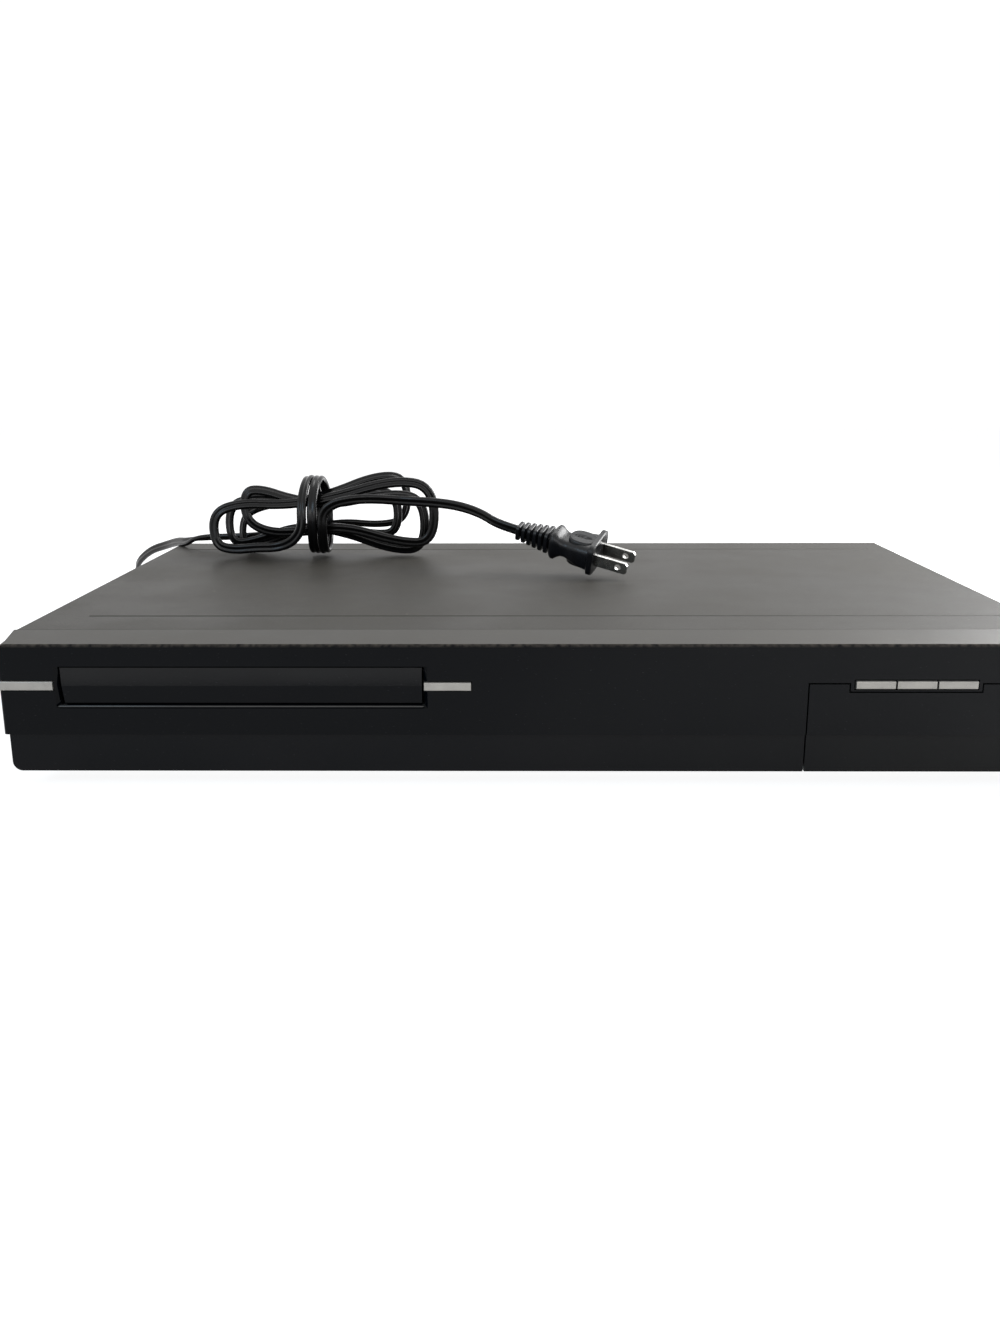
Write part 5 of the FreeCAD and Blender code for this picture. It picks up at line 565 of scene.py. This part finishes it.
# The feet and the loading belt: moulded black rubber; the feet are pressed into holes of the pan.
# The rubber is dull, with a little dust in the mould's grain.
rubber = finish("black_rubber", "#131313", "#222120", 0.5, (0.62, 0.84), depth=0.03, blotch=6.0,
                layers=[specks(1.6, 0.2, 0.15, "#4A4845")])
dress(rubber, "rubber_feet", "loading_belt")


# The case screws: steel pan heads with a cross recess, in black zinc.
# They hold the cover at its sides and the rear sheet to the pan, and glint at their rims.
def boxes_of(node):
    """Lowest and highest corner of each loose part of a CAD node's mesh."""
    shape = bmesh.new()
    shape.from_mesh(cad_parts[node].data)
    bmesh.ops.remove_doubles(shape, verts=shape.verts, dist=0.000001)
    waiting, found = set(shape.verts), []
    while waiting:
        reached, edge_of_it = set(), [waiting.pop()]
        while edge_of_it:
            vertex = edge_of_it.pop()
            reached.add(vertex)
            for edge in vertex.link_edges:
                other = edge.other_vert(vertex)
                if other in waiting:
                    waiting.discard(other)
                    edge_of_it.append(other)
        corners = [[pick(v.co[k] for v in reached) for k in range(3)] for pick in (min, max)]
        found.append((Vector(corners[0]), Vector(corners[1])))
    shape.free()
    return sorted(found, key=lambda pair: tuple(pair[0]))


def turned(profile, sides=32):
    """A body turned round Z from a profile of radius and height in mm."""
    shape = bmesh.new()
    made = [shape.verts.new((radius * MM, 0, height * MM)) for radius, height in profile]
    edges = [shape.edges.new(pair) for pair in zip(made, made[1:])]
    bmesh.ops.spin(shape, geom=made + edges, cent=(0, 0, 0), axis=(0, 0, 1), angle=2 * math.pi,
                   steps=sides, use_merge=True)
    bmesh.ops.remove_doubles(shape, verts=shape.verts, dist=0.000001)
    return shape


def settled(mesh):
    """The mesh with corners within 10 micrometres joined and its faces in one order, run after run."""
    shape = bmesh.new()
    shape.from_mesh(mesh)
    bmesh.ops.remove_doubles(shape, verts=shape.verts, dist=0.00001)
    shape.verts.index_update()
    rounds = []
    for face in shape.faces:
        corners = [vertex.index for vertex in face.verts]
        start = corners.index(min(corners))
        rounds.append(corners[start:] + corners[:start])
    result = bpy.data.meshes.new(mesh.name)
    result.from_pydata([vertex.co.copy() for vertex in shape.verts], [], sorted(rounds))
    shape.free()
    return result


def cut_by(mesh, tool):
    """The mesh with the tool's shape taken out of it."""
    whole, cutter = bpy.data.objects.new("whole", mesh), bpy.data.objects.new("cutter", tool)
    for helper in (whole, cutter):
        bpy.context.scene.collection.objects.link(helper)
    cutting = whole.modifiers.new("cut", "BOOLEAN")
    cutting.operation, cutting.solver = "DIFFERENCE", "EXACT"
    cutting.object = cutter
    result = as_mesh(whole, mesh.name)
    for helper in (whole, cutter):
        bpy.data.objects.remove(helper)
    return result


HEAD_RADIUS, HEAD_HEIGHT = 3.0, 1.0
RECESS_REACH, RECESS_FOOT, RECESS_WIDTH, RECESS_DEPTH = 1.5, 0.675, 0.55, 0.6
head = mesh_from(turned([(0.0, -0.6), (1.3, -0.6), (1.3, 0.0), (HEAD_RADIUS, 0.0), (HEAD_RADIUS, 0.28),
                         (2.8, 0.62), (2.2, 0.88), (1.4, 0.98), (0.0, HEAD_HEIGHT)]), "screw_head")
recess, rims = bmesh.new(), []
half = RECESS_WIDTH / 2
for height, reach in ((HEAD_HEIGHT + 0.1, RECESS_REACH), (HEAD_HEIGHT - RECESS_DEPTH, RECESS_FOOT)):
    corners = []
    for quarter in range(4):
        turn = Matrix.Rotation(quarter * math.pi / 2, 3, "Z")
        for place in ((reach, -half, height), (reach, half, height), (half, half, height)):
            corners.append(recess.verts.new(turn @ Vector(place) * MM))
    rims.append([recess.edges.new(pair) for pair in zip(corners, corners[1:] + corners[:1])])
bmesh.ops.bridge_loops(recess, edges=rims[0] + rims[1])
for rim in rims:
    bmesh.ops.contextual_create(recess, geom=rim)
head = settled(cut_by(settled(head), mesh_from(recess, "recess")))
screws = bmesh.new()
for number, (low, high) in enumerate(boxes_of("case_screws")):
    middle = (low + high) / 2
    if high.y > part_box("rear_panel")[1][1]:
        outward = Vector((0, 1, 0))
        seat = Vector((middle.x, high.y - HEAD_HEIGHT * MM, middle.z))
    else:
        outward = Vector((math.copysign(1.0, middle.x), 0, 0))
        seat = Vector((high.x if middle.x > 0 else low.x, middle.y, middle.z)) - outward * HEAD_HEIGHT * MM
    facing = outward.to_track_quat("Z", "Y").to_matrix().to_4x4() @ Matrix.Rotation(0.9 * number, 4, "Z")
    before = len(screws.verts)
    screws.from_mesh(head)
    screws.verts.ensure_lookup_table()
    bmesh.ops.transform(screws, matrix=Matrix.Translation(seat) @ facing, verts=screws.verts[before:])
black_zinc = finish("black_zinc", "#3A3A3C", "#5A5A5E", 0.2, (0.28, 0.46), depth=0.006, blotch=2.0,
                    metallic=1.0, layers=[specks(0.9, 0.12, 0.2, "#8A8A8C")])
screw_heads = new_piece("screw_heads", mesh_from(screws, "screw_heads"), "case", smooth_below=32.0)
screw_heads.data.materials.append(black_zinc)
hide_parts("case_screws")

# The pan, the clamp's bridge, the traverse and the tuner's can: zinc-plated steel, stamped and folded.
# Cold rolling leaves it faintly streaked one way, bright between grey patches.
zinc_sheet = finish("zinc_plated_sheet", "#9EA1A3", "#B9BBBC", 0.5, (0.34, 0.50), depth=0.006, blotch=14.0,
                    stretch=(8, 1, 1), metallic=1.0,
                    layers=[streaks(12.0, 0.2, 2.0, 0.2, "#D0D2D3", rough=0.3)])
dress(zinc_sheet, "chassis_pan", "traverse_frame", "clamp_bridge", "tuner_can")

# The rear sheet: pre-coated steel, punched for the sockets and the fan and screwed to the pan.
# It is a flat mid grey with a fine satin grain, and plugs have scuffed it round the sockets.
rear_paint = finish("coated_rear_sheet", "#77787A", "#86878A", 0.3, (0.40, 0.54), depth=0.012, blotch=40.0,
                    metallic=0.35,
                    layers=[streaks(7.0, 0.2, 25.0, 0.2, "#A2A3A5"), specks(9.0, 0.2, 0.1, "#4A4A4C")])
dress(rear_paint, "rear_panel")

# The cord's bushing, the socket blocks and the fan: black nylon, moulded with a fine spark finish.
# It is dull and even; the fan's rotor has glass in its nylon and looks a shade greyer.
nylon_black = finish("black_nylon", "#111113", "#1C1C1E", 0.22, (0.44, 0.58), depth=0.02, blotch=8.0,
                     layers=[specks(3.0, 0.1, 0.1, "#4A4A4C")], Specular_IOR_Level=0.3)
dress(nylon_black, "cord_bushing", "jack_blocks", "fan_frame")
fan_black = finish("fan_glass_nylon", "#1A1B1D", "#26272A", 0.4, (0.40, 0.52), depth=0.02, blotch=10.0)
dress(fan_black, "fan_rotor")


# The phono sockets: nickel-plated barrels round coloured insulators, bright on the grey sheet.
# Columns of yellow, white and red carry picture and sound; the outer one is green, blue and red.
RED, WHITE, YELLOW = paint("#A81E1C"), paint("#D9D6CE"), paint("#D9A916")
BLUE, GREEN, BLACK = paint("#1F4FA0"), paint("#1E7F3C"), paint("#151517")


def by_place(tree, axis, colours, edges):
    """Colours in turn along an axis; each edge, in mm, is where the next one starts."""
    place = add_node(tree, "SeparateXYZ", Vector=place_mm(tree)).outputs["XYZ".index(axis)]
    shown = colours[0]
    for colour, edge in zip(colours[1:], edges):
        past = add_node(tree, "MapRange", i0=place, i1=edge, i2=edge + 0.01)
        shown = add_node(tree, "Mix", {"data_type": "RGBA"}, i0=past.outputs[0], i6=shown,
                         i7=colour).outputs[2]
    return shown


def rear_colours(tree):
    """Each column by height, and the outer column in colours of its own."""
    plain = by_place(tree, "Z", [RED, WHITE, YELLOW], ROW_EDGES)
    outer = by_place(tree, "Z", [RED, BLUE, GREEN], ROW_EDGES)
    return by_place(tree, "X", [plain, outer], [OUTER_COLUMN])


def front_colours(tree):
    """The front row by its place across; the blocks behind the bay's floor stay black."""
    row = by_place(tree, "X", [YELLOW, WHITE, RED, BLACK], FRONT_EDGES)
    return by_place(tree, "Y", [row, BLACK], [BAY_FLOOR])


def moulded_in(colours):
    """A layer of colours by place, with a little of the material's own grain left in them."""
    def layer(tree, grain, roughness):
        shown = add_node(tree, "Mix", {"data_type": "RGBA", "blend_type": "MULTIPLY"}, i0=0.35,
                         i6=colours(tree), i7=grain)
        return shown.outputs[2], roughness
    return layer


rear_boxes = boxes_of("rca_insulators")
columns = sorted({round((low.x + high.x) / 2 / MM, 1) for low, high in rear_boxes})
levels = sorted({round((low.z + high.z) / 2 / MM, 1) for low, high in rear_boxes})
fronts = [round((low.x + high.x) / 2 / MM, 1) for low, high in boxes_of("front_jack_barrels")]
OUTER_COLUMN = (columns[-1] + columns[-2]) / 2
ROW_EDGES = ((levels[0] + levels[1]) / 2, (levels[1] + levels[2]) / 2)
FRONT_EDGES = ((fronts[0] + fronts[1]) / 2, (fronts[1] + fronts[2]) / 2, fronts[2] + 8.0)
BAY_FLOOR = -113.0
insulator = finish("coloured_insulators", "#CFCFCF", "#FFFFFF", 0.3, (0.30, 0.42), depth=0.006, blotch=3.0,
                   layers=[moulded_in(rear_colours)])
dress(insulator, "rca_insulators")
front_plastic = finish("front_socket_plastic", "#CFCFCF", "#FFFFFF", 0.3, (0.30, 0.42), depth=0.006,
                       blotch=3.0, layers=[moulded_in(front_colours)])
dress(front_plastic, "front_jacks")
dress(nickel, "rca_barrels", "antenna_sockets", "hdmi_socket", "front_jack_barrels")

# The disc tray, the loader's chassis, its cam slider and the clamper: glass-filled black ABS.
# A spark-eroded mould leaves it matt, and discs have drawn fine scratches on the tray.
loader_black = finish("glass_filled_black", "#151518", "#212124", 0.3, (0.46, 0.62), depth=0.025,
                      blotch=12.0, layers=[
                          streaks(6.0, 0.15, 40.0, 0.16, "#333337"), specks(7.0, 0.12, 0.06, "#47474B"),
                      ], Specular_IOR_Level=0.3)
dress(loader_black, "loader_chassis", "disc_tray", "cam_slider", "clamper")

# The pickup sled and the turntable: a sled moulded in grey filled resin, and a black resin hub.
# The sled is stone grey and dry to look at; the hub is smoother, with a soft shine.
sled_resin = finish("grey_filled_resin", "#3B3D40", "#4B4D50", 0.4, (0.42, 0.56), depth=0.02, blotch=6.0)
dress(sled_resin, "pickup_sled")
hub_black = finish("hub_resin", "#17181A", "#222326", 0.25, (0.34, 0.48), depth=0.01, blotch=4.0)
dress(hub_black, "turntable")

# The loader's gears and the motor's pulley: moulded in natural acetal, which needs no oil.
# It is a waxy cream white with a few darker flecks of grease.
acetal = finish("natural_acetal", "#D6D3CA", "#E6E4DC", 0.6, (0.34, 0.46), depth=0.008, blotch=6.0,
                layers=[specks(4.0, 0.25, 0.1, "#B9B5A8")])
dress(acetal, "pulley_gear", "drive_gear", "motor_pulley")

# The motors, the switches' cans and the drive's lid: steel, drawn or stamped and nickel plated.
# They are bright, with polishing lines that lean one way.
can_steel = finish("nickel_can", "#A2A3A3", "#BBBBB9", 0.4, (0.24, 0.38), depth=0.004, blotch=8.0,
                   metallic=1.0, layers=[streaks(6.0, 0.12, 15.0, 0.18, "#D5D5D3", rough=0.2)])
dress(can_steel, "loading_motor", "traverse_motors", "hdd_lid", "tact_switches")

# The sled's rods and its lead screw: ground stainless steel, held in the traverse at both ends.
# They are nearly mirror bright, with grinding lines along their length.
ground_rod = finish("ground_rod", "#B4B5B6", "#CACBCC", 0.2, (0.12, 0.22), depth=0.002, blotch=3.0,
                    stretch=(1, 12, 1), metallic=1.0)
dress(ground_rod, "guide_rods", "lead_screw")

# The drive's casting and the heat sinks: die-cast and extruded aluminium, left as they come.
# The metal is pale and sandy, with blurred reflections.
aluminium = finish("cast_aluminium", "#A9ABAC", "#C0C1C2", 0.3, (0.34, 0.52), depth=0.02, blotch=8.0,
                   metallic=1.0)
dress(aluminium, "hdd_casting", "heat_sinks")


# The circuit boards: glass laminate with etched copper under green solder mask, screwed to the pan's posts.
# The mask is glossy, and the copper lines show through it as a lighter green.
def copper_lines(tree, colour, roughness):
    """Lighter green runs where copper lies under the mask."""
    cells = add_node(tree, "TexBrick", {"offset": 0.5}, Vector=place_mm(tree), Color1=(0, 0, 0, 1),
                     Color2=(0, 0, 0, 1), Mortar=(1, 1, 1, 1), Scale=0.22, Mortar_Size=0.035,
                     Brick_Width=0.9, Row_Height=0.3)
    lines = add_node(tree, "Math", {"operation": "MULTIPLY"}, i0=cells.outputs["Fac"],
                     i1=blotches(tree, 14.0, low=0.45, high=0.5, detail=0.0))
    return laid_over(tree, lines.outputs[0], colour, roughness, "#2C7D4B")


board_green = finish("green_solder_mask", "#0F4A2A", "#145535", 1.2, (0.20, 0.34), depth=0.02, blotch=3.0,
                     layers=[copper_lines])
dress(board_green, "main_board", "power_board", "av_board", "front_boards")

# The chips and the power parts: moulded in epoxy round their leads and soldered to the boards.
# They are dull black with a fine sandy grain.
epoxy = finish("moulded_epoxy", "#16171A", "#232427", 0.2, (0.45, 0.60), depth=0.01, blotch=3.0)
dress(epoxy, "main_chips", "power_parts")

# The display: a flat tube of smoked glass on the front board, behind the front plate.
# It is clear and dark, with a hard shine.
smoked_glass = finish("smoked_glass", "#0A1012", "#12181A", 0.5, (0.04, 0.08), depth=0.001, blotch=8.0)
dress(smoked_glass, "display_tube")
